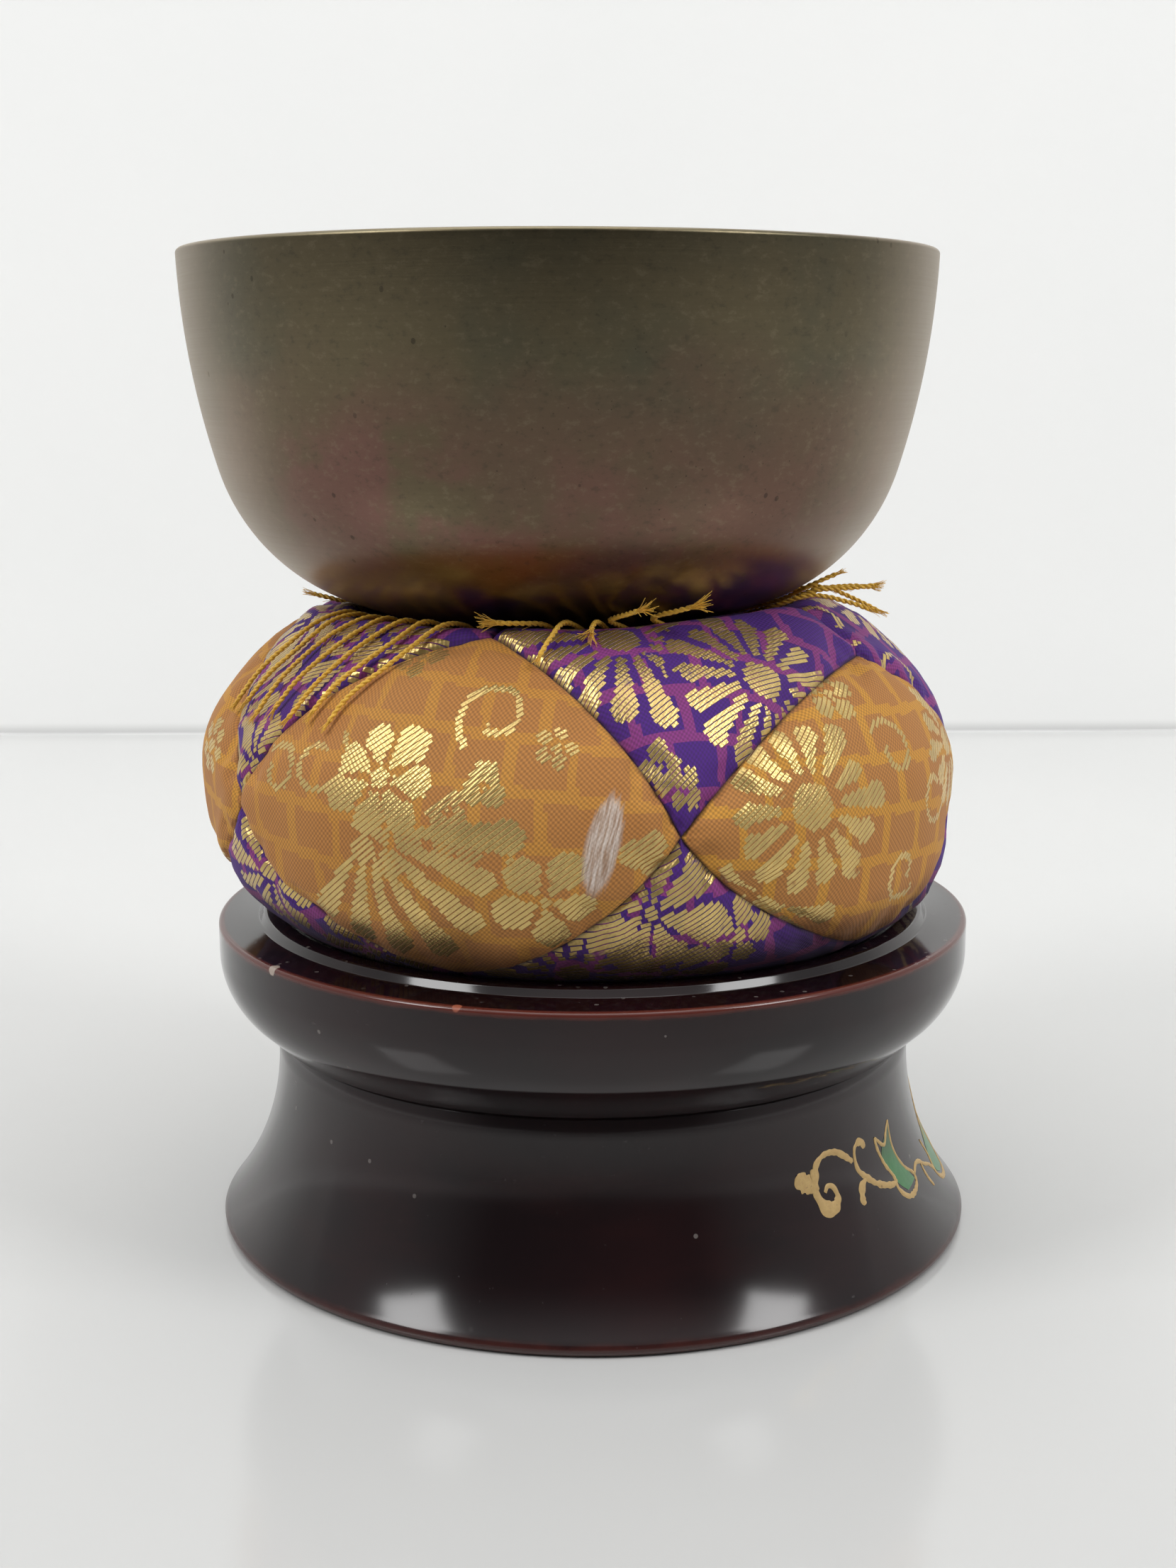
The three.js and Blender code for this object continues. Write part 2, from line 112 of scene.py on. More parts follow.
def waves(points, wavelength, seed, count=7):
    """A smooth wandering value, about -1 to 1, made of sine waves in seeded directions."""
    rng = np.random.default_rng(seed)
    total = np.zeros(points.shape[:-1])
    for _ in range(count):
        direction = unit(rng.normal(size=3)) * TAU / (wavelength * rng.uniform(0.7, 1.5))
        total += np.sin(points @ direction + rng.uniform(0, TAU))
    return total / math.sqrt(count)


def quads(rows, columns, closed=False):
    """Faces over a grid of points, row after row; closed joins the ends of each row."""
    faces = []
    for j in range(rows - 1):
        a, b = j * columns, (j + 1) * columns
        for i in range(columns if closed else columns - 1):
            k = (i + 1) % columns
            faces.append([a + i, a + k, b + k, b + i])
    return faces


def add_mesh(name, verts, faces, uv=None, sharp=None):
    mesh = bpy.data.meshes.new(name)
    mesh.from_pydata((np.asarray(verts, float) * MM).tolist(), [], faces)
    mesh.polygons.foreach_set("use_smooth", [True] * len(mesh.polygons))
    if uv is not None:
        loops = np.zeros(len(mesh.loops), np.int32)
        mesh.loops.foreach_get("vertex_index", loops)
        layer = mesh.uv_layers.new(name="cloth")
        layer.data.foreach_set("uv", np.asarray(uv, np.float32)[loops].ravel())
    if sharp is not None:
        mesh.set_sharp_from_angle(angle=math.radians(sharp))
    return placed(name, mesh)


def placed(name, data):
    obj = bpy.data.objects.new(name, data)
    bpy.context.scene.collection.objects.link(obj)
    return obj


def settle(obj, body, slot, material, *nodes):
    obj.data.materials.append(material)
    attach(obj, body)
    if nodes:
        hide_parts(*nodes)


def joined(parts):
    """Several (verts, faces) as one."""
    verts, faces, start = [], [], 0
    for v, f in parts:
        verts.append(v)
        faces += [[i + start for i in face] for face in f]
        start += len(v)
    return np.concatenate(verts), faces


# ---- The bowl's and cushion's surfaces ----------------------------------------------------
def bowl_underside(x, y):
    cap_angle, base, turn = BOWL["base_end"], BOWL["base_arc"], BOWL["turn_arc"]
    dx = x - BOWL["offset_x"]
    r = np.minimum(np.hypot(dx, y), base - 1)
    cap = base * math.sin(cap_angle)
    low = base - np.sqrt(base**2 - r**2)
    heading = np.clip(math.sin(cap_angle) + (r - cap) / turn, -1, 1)
    start = base * (1 - math.cos(cap_angle))
    high = start + turn * (math.cos(cap_angle) - np.sqrt(1 - heading**2))
    return BOWL["seat_z"] - dx * BOWL["tilt"] + np.where(r <= cap, low, high)


def cushion_point(azimuth, polar):
    """Azimuth 0 faces -Y and grows towards +X; polar 0 is the top and half a turn the bottom."""
    c = CUSHION
    above = polar <= QUARTER
    power = np.where(above, c["upper_power"], c["lower_power"])
    height = np.where(above, c["upper_h"], -c["lower_h"])
    across, up = np.abs(np.sin(polar)), np.abs(np.cos(polar))
    size = (across**power + up**power) ** (-1 / power)
    r = c["r"] * across * size
    z = c["equator_z"] + height * up * size
    x = c["lean_x"] * smoothstep(z, c["lean_from"], c["lean_to"]) + r * np.sin(azimuth)
    y = -r * np.cos(azimuth)
    dimple = np.exp(-((r / c["dimple_r"]) ** 2))
    pressed = bowl_underside(x, y) - c["seat_gap"]
    h = np.maximum(c["crest_blend"] - np.abs(z - pressed), 0) / c["crest_blend"]
    soft = np.minimum(z, pressed) - h * h * c["crest_blend"] / 4
    z = np.where(above, soft - c["top_dimple"] * dimple, z + c["base_dimple"] * dimple)
    return np.stack([x, y, z], -1)


def cushion_normal(azimuth, polar):
    step = 0.02
    east = cushion_point(azimuth + step, polar) - cushion_point(azimuth - step, polar)
    south = cushion_point(azimuth, np.minimum(polar + step, math.pi - 1e-3))
    south = south - cushion_point(azimuth, np.maximum(polar - step, 1e-3))
    return unit(np.cross(south, east))


# ---- Camera -------------------------------------------------------------------------------
def add_camera():
    data = bpy.data.cameras.new("camera")
    data.sensor_width, data.lens = 36, 46.87
    data.clip_start = 0.01
    camera = placed("camera", data)
    yaw, pitch, roll = -0.002, 0.1955, -0.0034
    level = math.cos(pitch)
    forward = Vector((math.sin(yaw) * level, math.cos(yaw) * level, -math.sin(pitch)))
    right = forward.cross(Vector((0, 0, 1))).normalized()
    up = right.cross(forward)
    axes = (
        right * math.cos(roll) + up * math.sin(roll),
        up * math.cos(roll) - right * math.sin(roll),
        -forward,
    )
    place = Matrix.Translation((0, -0.25184, 0.10402))
    camera.matrix_world = place @ Matrix(axes).transposed().to_4x4()
    bpy.context.scene.camera = camera


# ---- Threads ------------------------------------------------------------------------------
def smooth_curve(points, per_span=24):
    """A centripetal Catmull-Rom curve through the points."""
    p = np.asarray(points, float)
    p = np.concatenate([[2 * p[0] - p[1]], p, [2 * p[-1] - p[-2]]])
    t = np.linspace(0, 1, per_span, endpoint=False)[:, None]
    out = []
    for a, b, c, d in zip(p, p[1:], p[2:], p[3:]):
        s0, s1, s2 = (math.sqrt(max(np.linalg.norm(q), 1e-9)) for q in (b - a, c - b, d - c))
        m1 = ((b - a) / s0 - (c - a) / (s0 + s1) + (c - b) / s1) * s1
        m2 = ((c - b) / s1 - (d - b) / (s1 + s2) + (d - c) / s2) * s1
        out.append(
            b + m1 * t + (3 * (c - b) - 2 * m1 - m2) * t**2 + (2 * (b - c) + m1 + m2) * t**3
        )
    return np.concatenate(out + [p[-2:-1]])


def even(points, spacing):
    """The same line with points an even distance apart."""
    along = np.concatenate([[0], np.cumsum(np.linalg.norm(np.diff(points, axis=0), axis=1))])
    count = max(int(along[-1] / spacing), 3)
    at = np.linspace(0, along[-1], count + 1)
    return np.stack([np.interp(at, along, points[:, k]) for k in range(3)], -1), along[-1]


def carried_frame(points):
    """Tangent and two side directions that don't spin along the line."""
    tangent = unit(np.gradient(points, axis=0))
    side = np.cross(tangent[0], [0.0, 0.0, 1.0])
    if np.linalg.norm(side) < 1e-3:
        side = np.array([1.0, 0.0, 0.0])
    sides = []
    for t in tangent:
        side = unit(side - t * (side @ t))
        sides.append(side)
    sides = np.array(sides)
    return tangent, sides, np.cross(tangent, sides)


def tube(centres, side, up, radius, sides=8):
    angle = TAU * np.arange(sides) / sides
    radius = np.broadcast_to(radius, len(centres))[:, None, None]
    ring = np.cos(angle)[None, :, None] * side[:, None] + np.sin(angle)[None, :, None] * up[:, None]
    verts = (centres[:, None] + radius * ring).reshape(-1, 3)
    faces = quads(len(centres), sides, closed=True)
    faces.append(list(range(sides))[::-1])
    faces.append([len(verts) - sides + i for i in range(sides)])
    return verts, faces


def twisted(points, radius, pitch, seed, plies=2, fray=0.0, bushy=False):
    """Plies twisted together along an evenly spaced line, opening into fibres at the far end."""
    rng = np.random.default_rng(seed)
    tangent, side, up = carried_frame(points)
    step = np.linalg.norm(points[1] - points[0])
    turn = TAU * np.arange(len(points)) * step / pitch
    ply = radius * (0.62 if plies == 2 else 0.52)
    offset = radius - ply
    stop = len(points) - int(fray / step) if fray else len(points)
    parts = []
    for k in range(plies):
        phase = turn + TAU * k / plies
        out = np.cos(phase)[:, None] * side + np.sin(phase)[:, None] * up
        swell = 1 + 0.07 * np.sin(turn * 0.37 + k * 2 + seed)
        centres = points + out * offset
        parts.append(tube(centres[:stop], side[:stop], up[:stop], (ply * swell)[:stop]))
    if fray:
        for k in range(int(14 + 16 * bushy)):
            start = points[stop - 3] + side[stop - 3] * rng.normal() * radius * 0.35
            start = start + up[stop - 3] * rng.normal() * radius * 0.35
            lean = np.clip(rng.normal(size=2), -1.5, 1.5) * (0.2 + 0.22 * bushy)
            spread = side[-1] * lean[0] * 0.8 + up[-1] * lean[1] * 0.7
            length = fray * rng.uniform(0.85, 1.15)
            s = np.linspace(0, 1, 7)[:, None]
            line = start + (tangent[-1] * s + spread * s**1.6) * length
            line = line + np.sin(s * 5 + k) * 0.05
            _, a, b = carried_frame(line)
            width = radius * rng.uniform(0.13, 0.24) * (1 - 0.6 * s[:, 0])
            parts.append(tube(line, a, b, width, 5))
    for _ in range(int(len(points) * step / 6)):
        i = int(rng.integers(4, max(stop - 8, 5)))
        s = np.linspace(0, 1, 6)[:, None]
        lean = side[i] * rng.normal() + up[i] * abs(rng.normal())
        line = points[i] + (tangent[i] * s * 1.4 + unit(lean) * (radius * 0.8 + 0.5 * s**1.5))
        _, a, b = carried_frame(line)
        parts.append(tube(line, a, b, 0.028, 4))
    return joined(parts)


def thread_line(points, seed):
    plan = [about_axis(r, azimuth, lift) for azimuth, r, lift in points]
    flat, _ = even(smooth_curve(plan), 3.4)
    polar = np.arcsin(np.hypot(flat[:, 0], flat[:, 1]) / CUSHION["r"])
    azimuth = np.arctan2(flat[:, 0], -flat[:, 1])
    lift = flat[:, 2:] - THREAD["sunk"]
    laid = cushion_point(azimuth, polar) + cushion_normal(azimuth, polar) * lift
    line, length = even(smooth_curve(laid), 0.22)
    _, side, _ = carried_frame(line)
    free = smoothstep(np.arange(len(line)) / len(line), 0.05, 0.4)[:, None]
    line = line + side * waves(line, 13, seed)[:, None] * 0.3 * free
    return line, length


def add_threads(material):
    for i, points in enumerate(THREADS):
        number = f"{i + 1:02d}"
        line, length = thread_line(points, 40 + i)
        bushy = i + 1 in BUSHY
        fray = THREAD["tuft" if bushy else "frayed"]
        verts, faces = twisted(line, THREAD["radius"], THREAD["twist"], i, fray=fray, bushy=bushy)
        obj = add_mesh(f"thread_{number}", verts, faces)
        settle(obj, "cushion", "gold_thread", material, f"tie_thread_{number}")


# ---- Shader building ----------------------------------------------------------------------
def operator(operation, swap=False):
    """A method that joins a signal and another value in one maths node."""

    def join(self, other):
        return self.graph.math(operation, *((other, self) if swap else (self, other)))

    return join


class Signal:
    """A shader value that can be used in sums."""

    __add__ = __radd__ = operator("ADD")
    __sub__, __rsub__ = operator("SUBTRACT"), operator("SUBTRACT", swap=True)
    __mul__ = operator("MULTIPLY")
    __rmul__ = __mul__
    __truediv__ = operator("DIVIDE")
    __gt__, __lt__ = operator("GREATER_THAN"), operator("LESS_THAN")

    def __init__(self, graph, socket):
        self.graph, self.socket = graph, socket


class Graph:
    def __init__(self, tree):
        self.tree = tree
        tree.nodes.clear()

    def node(self, kind, **settings):
        made = self.tree.nodes.new(kind)
        for key, value in settings.items():
            setattr(made, key, value)
        return made

    def put(self, value, socket):
        if isinstance(value, Signal):
            self.tree.links.new(value.socket, socket)
        elif socket.type == "RGBA" and len(value) == 3:
            socket.default_value = (*value, 1)
        else:
            socket.default_value = value

    def apply(self, kind, inputs=(), output=0, **settings):
        """A new node's output, with its inputs in their order or by their names."""
        made = self.node(kind, **settings)
        for key, value in inputs.items() if isinstance(inputs, dict) else enumerate(inputs):
            self.put(value, made.inputs[key])
        return Signal(self, made.outputs[output])

    def math(self, operation, *values):
        return self.apply("ShaderNodeMath", values, operation=operation)

    def smooth(self, value, low, high, start=0.0, end=1.0):
        inputs = value, low, high, start, end
        return self.apply("ShaderNodeMapRange", inputs, interpolation_type="SMOOTHSTEP")

    def mix(self, share, a, b, blend="MIX"):
        inputs = {0: share, 6: a, 7: b}
        return self.apply("ShaderNodeMix", inputs, 2, data_type="RGBA", blend_type=blend)

    def layers(self, colour, *coats):
        """The colour under coats, each of them a share and a colour."""
        for share, tint in coats:
            colour = self.mix(share, colour, tint)
        return colour

    def stretch(self, vector, scale, move=(0, 0, 0)):
        return self.apply("ShaderNodeVectorMath", (vector, scale, move), operation="MULTIPLY_ADD")

    def split(self, vector):
        made = self.node("ShaderNodeSeparateXYZ")
        self.put(vector, made.inputs[0])
        return [Signal(self, s) for s in made.outputs]

    def combine(self, x, y, z=0.0):
        return self.apply("ShaderNodeCombineXYZ", (x, y, z))

    def noise(self, vector, scale, detail=3.0, roughness=0.55, distortion=0.0):
        return self.apply("ShaderNodeTexNoise", {
            "Vector": vector, "Scale": scale, "Detail": detail, "Roughness": roughness,
            "Distortion": distortion,
        })

    def random(self, value):
        return self.apply("ShaderNodeTexWhiteNoise", {"W": value}, "Value", noise_dimensions="1D")

    def specks(self, vector, scale, size):
        """Small round spots scattered over the surface."""
        return self.apply("ShaderNodeTexVoronoi", {"Vector": vector, "Scale": scale}, "Distance") < size

    def bump(self, height, distance, strength=1.0):
        inputs = {"Strength": strength, "Distance": distance, "Height": height}
        return self.apply("ShaderNodeBump", inputs)

    def coords(self):
        return self.apply("ShaderNodeTexCoord", output="Object")

    def largest(self, signals):
        out = signals[0]
        for s in signals[1:]:
            out = self.math("MAXIMUM", out, s)
        return out


def new_material(name, **inputs):
    """A material and its graph; inputs are names of Principled sockets with _ for a space."""
    material = bpy.data.materials.new(name)
    material.use_nodes = True
    g = Graph(material.node_tree)
    shader = g.node("ShaderNodeBsdfPrincipled")
    out = g.node("ShaderNodeOutputMaterial")
    g.tree.links.new(shader.outputs[0], out.inputs["Surface"])
    finish(g, shader, inputs)
    return material, g, shader


def finish(g, shader, inputs):
    for name, value in inputs.items():
        g.put(value, shader.inputs[name.replace("_", " ")])


# ---- Brocade ------------------------------------------------------------------------------
def petals(g, u, v, m):
    """A flower: a disc and a ring of petals with rounded ends, by distance and direction."""
    du, dv = u - m["u"], v - m["v"]
    r = g.math("SQRT", du * du + dv * dv)
    turn = g.math("ARCTAN2", dv, du) * (m["petals"] / TAU) + (m.get("turn", 0.0) + 50.5)
    number = g.math("FLOOR", turn)
    offset = (turn - number - 0.5) * (TAU / m["petals"])
    reach = m["radius"] * (0.86 + 0.26 * g.random(number + m["u"]))
    along, across = r * g.math("COSINE", offset), g.math("ABSOLUTE", r * g.math("SINE", offset))
    wide = m.get("wide", 0.72) * math.tan(math.pi / m["petals"])
    cap = reach * (wide / (1 + wide))
    start = m["disc"] * 1.45
    blade = (across < (along - start * 0.3) * wide) * (along < reach - cap) * (r > start)
    past = along - (reach - cap)
    tip = (past * past + across * across < cap * cap) * (r > start)
    if "sector" in m:
        middle, half = (math.radians(q) for q in m["sector"])
        facing = du * math.cos(middle) + dv * math.sin(middle)
        return g.largest([blade, tip]) * (facing > r * math.cos(half))
    return g.largest([blade, tip, r < m["disc"]])


def curl(g, u, v, m):
    """A thin line that winds inwards."""
    du, dv = u - m["u"], v - m["v"]
    r = g.math("SQRT", du * du + dv * dv)
    turn = g.math("ARCTAN2", dv, du) / TAU
    turn = g.math("FRACT", turn + m.get("turn", 0.0))
    line = m["radius"] * (0.35 + 0.65 * turn)
    return g.math("ABSOLUTE", r - line) < 0.38


MARKS = {"petals": petals, "curl": curl}
GOLD = (0.58, 0.42, 0.155)
PICK = 0.54  # between two rows of gold thread, in millimetres
FLOAT_STEP = 0.42  # the step along a row in which gold comes and goes
FRET_STEP = 0.46  # the step of the fret's edges
FRET_CELL = (6.7, 5.6)  # the fret's cell, along its bars and across them


def gold_rows(g, u, v, marks, floats):
    """The woven figures, stepped from row to row as a loom makes them, and each row's ridge."""
    along, across = rotated(u, v, floats)
    row = g.math("FLOOR", across / PICK)
    phase = g.math("FRACT", across / PICK)
    along = (g.math("FLOOR", along / FLOAT_STEP + row * 0.5) - row * 0.5 + 0.5) * FLOAT_STEP
    across = (row + 0.5) * PICK
    su, sv = rotated(along, across, -floats)
    shapes = []
    for m in marks:
        shape = MARKS[m["kind"]](g, su, sv, m) * m.get("shine", 1.0)
        for other in marks:
            if other.get("front") and other is not m:
                du, dv = su - other["u"], sv - other["v"]
                shape = shape * (du * du + dv * dv > (other["radius"] * 1.07 + 0.3) ** 2)
        shapes.append(shape)
    return g.largest(shapes), 1 - g.math("ABSOLUTE", phase * 2 - 1)


def fret_bars(g, u, v, turn):
    """A fret of crossing bars with stepped edges."""
    u, v = rotated(*(g.math("FLOOR", q / FRET_STEP) * FRET_STEP for q in (u, v)), turn)
    rows = v / FRET_CELL[1]
    level = g.math("ABSOLUTE", g.math("FRACT", rows) - 0.5) > 0.39
    stagger = g.math("FLOOR", rows) * 0.5
    place = g.math("FRACT", u / FRET_CELL[0] + stagger + rows * 0.12)
    return g.largest([level, g.math("ABSOLUTE", place - 0.5) > 0.405])


def worn_spot(g, u, v, spot):
    """How bare the cloth is rubbed at a long spot, and the colour of the fibres that show."""
    along, across = rotated(u - spot["u"], v - spot["v"], spot["turn"])
    fibres = g.noise(g.combine(along * 0.25, across * 3.2), 1.0, 3.0)
    along, across = along / spot["long"], across / spot["wide"]
    far = g.math("SQRT", g.math("POWER", along, 2.0) + g.math("POWER", across, 2.0))
    bare = g.smooth(far + (fibres - 0.5) * 0.7, 1.0, 0.72)
    return bare, g.mix(g.smooth(fibres, 0.3, 0.7), (0.32, 0.2, 0.13), (0.72, 0.64, 0.58))


def brocade(name, ground, bars, marks, floats, fret, fret_share, worn):
    """Woven silk with gold floats. Its pattern is laid out in millimetres on the patch's chart."""
    material, g, shader = new_material(name)
    p = g.coords()
    z = g.split(p)[2] * 1000
    u, v, _ = g.split(g.apply("ShaderNodeUVMap", uv_map="cloth"))
    drift = g.noise(p, 160, 2.0) - 0.5
    u, v = u + drift * 0.9, v + drift * 0.7
    figure, ridge = gold_rows(g, u, v, marks, floats)
    strand = g.smooth(ridge + (figure - 1) * 0.6, 0.08, 0.28)
    gilt = (figure > 0.1) * strand * g.smooth(g.noise(p, 420, 2.0), 0.24, 0.36)
    warp = g.math("SINE", (u + v) * (TAU / 0.62))
    weft = g.math("SINE", (u - v * 0.9) * (TAU / 0.5))
    weave = 0.5 + 0.25 * (warp + weft)
    colour = g.mix(fret_bars(g, u, v, fret) * fret_share, ground, bars)
    colour = g.mix(g.smooth(weave, 0.1, 0.9, 0.42, 0.0), colour, (0.02, 0.008, 0.01))
    faded = g.smooth(g.noise(p, 90, 4.0), 0.35, 0.7, 0.0, 0.22)
    colour = g.mix(faded, colour, (0.9, 0.75, 0.6), "MULTIPLY")
    colour = g.mix(figure * (1 - strand) * 0.3, colour, (0.05, 0.02, 0.01))
    dull, bright = (tuple(q * k for q in GOLD) for k in (0.62, 1.45))
    colour = g.mix(gilt, colour, g.mix(g.noise(p, 260, 2.0), dull, bright))
    metal = gilt * 0.82
    rough = 0.78 - gilt * 0.42
    if worn:
        bare, pale = worn_spot(g, u, v, worn)
        colour = g.mix(bare * 0.92, colour, pale)
        metal = metal * (1 - bare)
        rough = rough + bare * 0.1
    seam = g.apply("ShaderNodeAttribute", output="Fac", attribute_name="seam")
    # Painted shade in the seam grooves: the cloth is darker and less metallic there.
    seam_shade = g.smooth(seam, 0.34, 0.0)
    # Darker towards the bottom of the cushion, below a wandering edge.
    low_darkening = g.smooth(z + (g.noise(p, 120, 4.0) - 0.5) * 8, 48.5, 41.5)
    colour = g.mix(low_darkening * 0.85, colour, (0.24, 0.19, 0.14), "MULTIPLY")
    colour = g.mix(seam_shade * 0.6, colour, (0.03, 0.015, 0.02))
    height = weave * 0.35 + figure * 0.55 + strand * figure * 0.6
    finish(g, shader, {
        "Base_Color": colour, "Metallic": metal * (1 - seam_shade), "Roughness": rough,
        "Normal": g.bump(height, 0.00011, 0.85), "Sheen_Weight": 0.04, "Sheen_Roughness": 0.45,
    })
    return material


# ---- Cushion patches ----------------------------------------------------------------------
def on_plane(corner):
    a = math.radians(corner[0])
    return np.array([corner[1] * math.sin(a), corner[1] * math.cos(a)])


def from_plane(flat, lower):
    polar = np.minimum(np.linalg.norm(flat, axis=-1), 1) * QUARTER
    return np.stack([np.arctan2(flat[..., 0], flat[..., 1]), math.pi - polar if lower else polar], -1)


def lerp(a, b, t):
    return a + (b - a) * np.asarray(t)[..., None]


def kite(before, crossing, after, lower):
    b, c, a = (on_plane(q) for q in (before, crossing, after))

    def at(u, v):
        return from_plane(lerp(lerp(a * 0, a, u), lerp(b, c, u), v), lower)

    return at


def side_patch(left, upper, right, lower_corner):
    middle = math.radians(upper[0])

    def along(start, end, lower):
        def at(w):
            out = from_plane(lerp(on_plane(start), on_plane(end), w), lower)
            out[..., 0] -= TAU * np.round((out[..., 0] - middle) / TAU)
            return out

        return at

    left_upper, upper_right = along(left, upper, False), along(upper, right, False)
    left_lower, lower_right = along(left, lower_corner, True), along(lower_corner, right, True)
    zero, one = np.zeros(1), np.ones(1)

    def at(u, v):
        shape = np.broadcast(u, v).shape
        u, v = np.broadcast_to(u, shape), np.broadcast_to(v, shape)
        across = lerp(left_upper(u), lower_right(u), v)
        down = lerp(left_lower(v), upper_right(v), u)
        near = lerp(left_upper(zero), left_upper(one), u)
        far = lerp(left_lower(one), lower_right(one), u)
        return across + down - lerp(near, far, v)

    return at


CELLS = 52


def thread_clearance(points):
    """0 beside a tie thread, 1 where there is none within a few millimetres."""
    lines = np.concatenate([thread_line(t, 40 + i)[0][::6] for i, t in enumerate(THREADS)])
    lines = np.concatenate([lines, [[CUSHION["lean_x"], 0, 71.2]]])
    out = np.full(len(points), 1e9)
    for start in range(0, len(lines), 400):
        block = lines[start : start + 400]
        out = np.minimum(out, np.linalg.norm(points[:, None] - block[None], axis=-1).min(1))
    return smoothstep(out, 1.1, 4.5)


def patch_grid(at):
    """Grid points of a patch, closer together beside its seams, and how far each is from one."""
    t = np.linspace(0, 1, CELLS + 1)
    t = t - 0.8 * np.sin(TAU * t) / TAU
    u, v = np.meshgrid(t, t)
    angles = at(u, v)
    azimuth, polar = angles[..., 0], angles[..., 1]
    base = cushion_point(azimuth, polar)
    normal = cushion_normal(azimuth, np.clip(polar, 0.004, math.pi - 0.004))
    edges = np.concatenate([base[0], base[-1], base[:, 0], base[:, -1]])
    seam = np.full(base.shape[:2], 1e9)
    for k in range(0, len(edges), 60):
        near = np.linalg.norm(base[:, :, None] - edges[None, None, k : k + 60], axis=-1)
        seam = np.minimum(seam, near.min(-1))
    seam[0], seam[-1], seam[:, 0], seam[:, -1] = 0, 0, 0, 0
    return {"azimuth": azimuth, "base": base, "normal": normal, "seam": seam}


def puffed(grid):
    """The sewn and stuffed shape: a groove along each seam, small puckers beside it."""
    base, normal, seam = grid["base"], grid["normal"], grid["seam"]
    z = base[..., 2]
    free = smoothstep(z, 41, 47)
    pucker = waves(base, 4.2, 11) * np.exp(-seam / 3.2) * smoothstep(seam, 0, 1.2) * SEWN["pucker"]
    dents = waves(base, 17, 12) * SEWN["dent"] * smoothstep(seam, 0, 5)
    groove = -SEWN["groove"] * np.exp(-((seam / SEWN["groove_width"]) ** 1.1))
    puff = (SEWN["crown"] * (1 - np.exp(-seam / SEWN["crown_reach"])) - SEWN["inset"]) * free
    out = base + normal * (groove * (0.35 + 0.65 * free) + puff + pucker + dents * free)[..., None]
    # the cloth swells up to the bowl where no thread lies between them
    room = bowl_underside(out[..., 0], out[..., 1]) - SEWN["bowl_gap"] - out[..., 2]
    wide = smoothstep(room, 4.0, 1.2) * (z > CUSHION["equator_z"])
    grid["clear"] = thread_clearance(base.reshape(-1, 3)).reshape(z.shape)
    hidden = smoothstep(np.hypot(base[..., 0] - BOWL["offset_x"], base[..., 1]), 29, 25)
    lift = np.clip(room, 0, None) * wide * grid["clear"] * smoothstep(seam, 0, 1.5) * hidden
    out[..., 2] += lift
    over = np.where(z > CUSHION["equator_z"], np.maximum(-room, 0), 0)
    out[..., 2] -= over
    return out


def welded(grids, shapes):
    """Every other line of all patches as one mesh: its points, its faces, which points are held
    and, for each patch, the number of each of its points."""
    index, verts, faces, held, where = {}, [], [], [], []
    for grid, shape in zip(grids, shapes):
        rows = shape[::2, ::2]
        n = rows.shape[0]
        numbers = np.zeros((n, n), int)
        room = bowl_underside(rows[..., 0], rows[..., 1]) - rows[..., 2]
        near_bowl = (rows[..., 2] > CUSHION["equator_z"]) & (room < 2.2)
        fixed = (grid["seam"][::2, ::2] < 1e-6) | near_bowl | (rows[..., 2] < 42)
        for j, i in np.ndindex(n, n):
            key = tuple(np.round(rows[j, i], 2))
            if key not in index:
                index[key] = len(verts)
                verts.append(rows[j, i])
                if fixed[j, i]:
                    held.append(index[key])
            numbers[j, i] = index[key]
        where.append(numbers)
        for face in quads(n, n):
            face = list(dict.fromkeys(numbers.ravel()[face].tolist()))
            if len(face) > 2:
                faces.append(face[::-1] if grid["flip"] else face)
    return np.array(verts), faces, held, where


def inflated(grids, shapes):
    """Cloth simulation of the sewn cover: pressure from inside swells it between its seams.
    It runs at ten times life size and returns the moved shapes."""
    scale, cap = 10, SEWN["swell"]
    start, faces, held, where = welded(grids, shapes)
    cover = add_mesh("cover_in_the_making", start * scale, faces)
    pins = cover.vertex_groups.new(name="seams")
    pins.add(held, 1.0, "REPLACE")
    cloth = cover.modifiers.new("cloth", "CLOTH")
    settings = cloth.settings
    settings.vertex_group_mass = "seams"
    settings.use_pressure, settings.uniform_pressure_force = True, 9
    settings.effector_weights.gravity = 0
    settings.quality, settings.mass = 6, 0.02
    settings.tension_stiffness = settings.compression_stiffness = 14
    settings.shear_stiffness, settings.bending_stiffness = 6, 0.02
    settings.shrink_min = -0.02
    cloth.collision_settings.use_collision = False
    scene = bpy.context.scene
    for number in range(1, 21):
        scene.frame_set(number)
    evaluated = cover.evaluated_get(bpy.context.evaluated_depsgraph_get())
    flat = np.zeros(len(evaluated.data.vertices) * 3)
    evaluated.data.vertices.foreach_get("co", flat)
    moved = flat.reshape(-1, 3) / (MM * scale) - start
    scene.frame_set(1)
    bpy.data.objects.remove(cover)
    length = np.linalg.norm(moved, axis=1, keepdims=True)
    moved = moved * cap * np.tanh(length / cap) / np.maximum(length, 1e-9)
    out = []
    for numbers, shape, grid in zip(where, shapes, grids):
        coarse = moved[numbers]
        fine = np.zeros_like(shape)
        fine[::2, ::2] = coarse
        fine[1::2, ::2] = (coarse[1:] + coarse[:-1]) / 2
        fine[:, 1::2] = (fine[:, 2::2] + fine[:, :-2:2]) / 2
        out.append(shape + fine * grid["clear"][..., None])
    return out


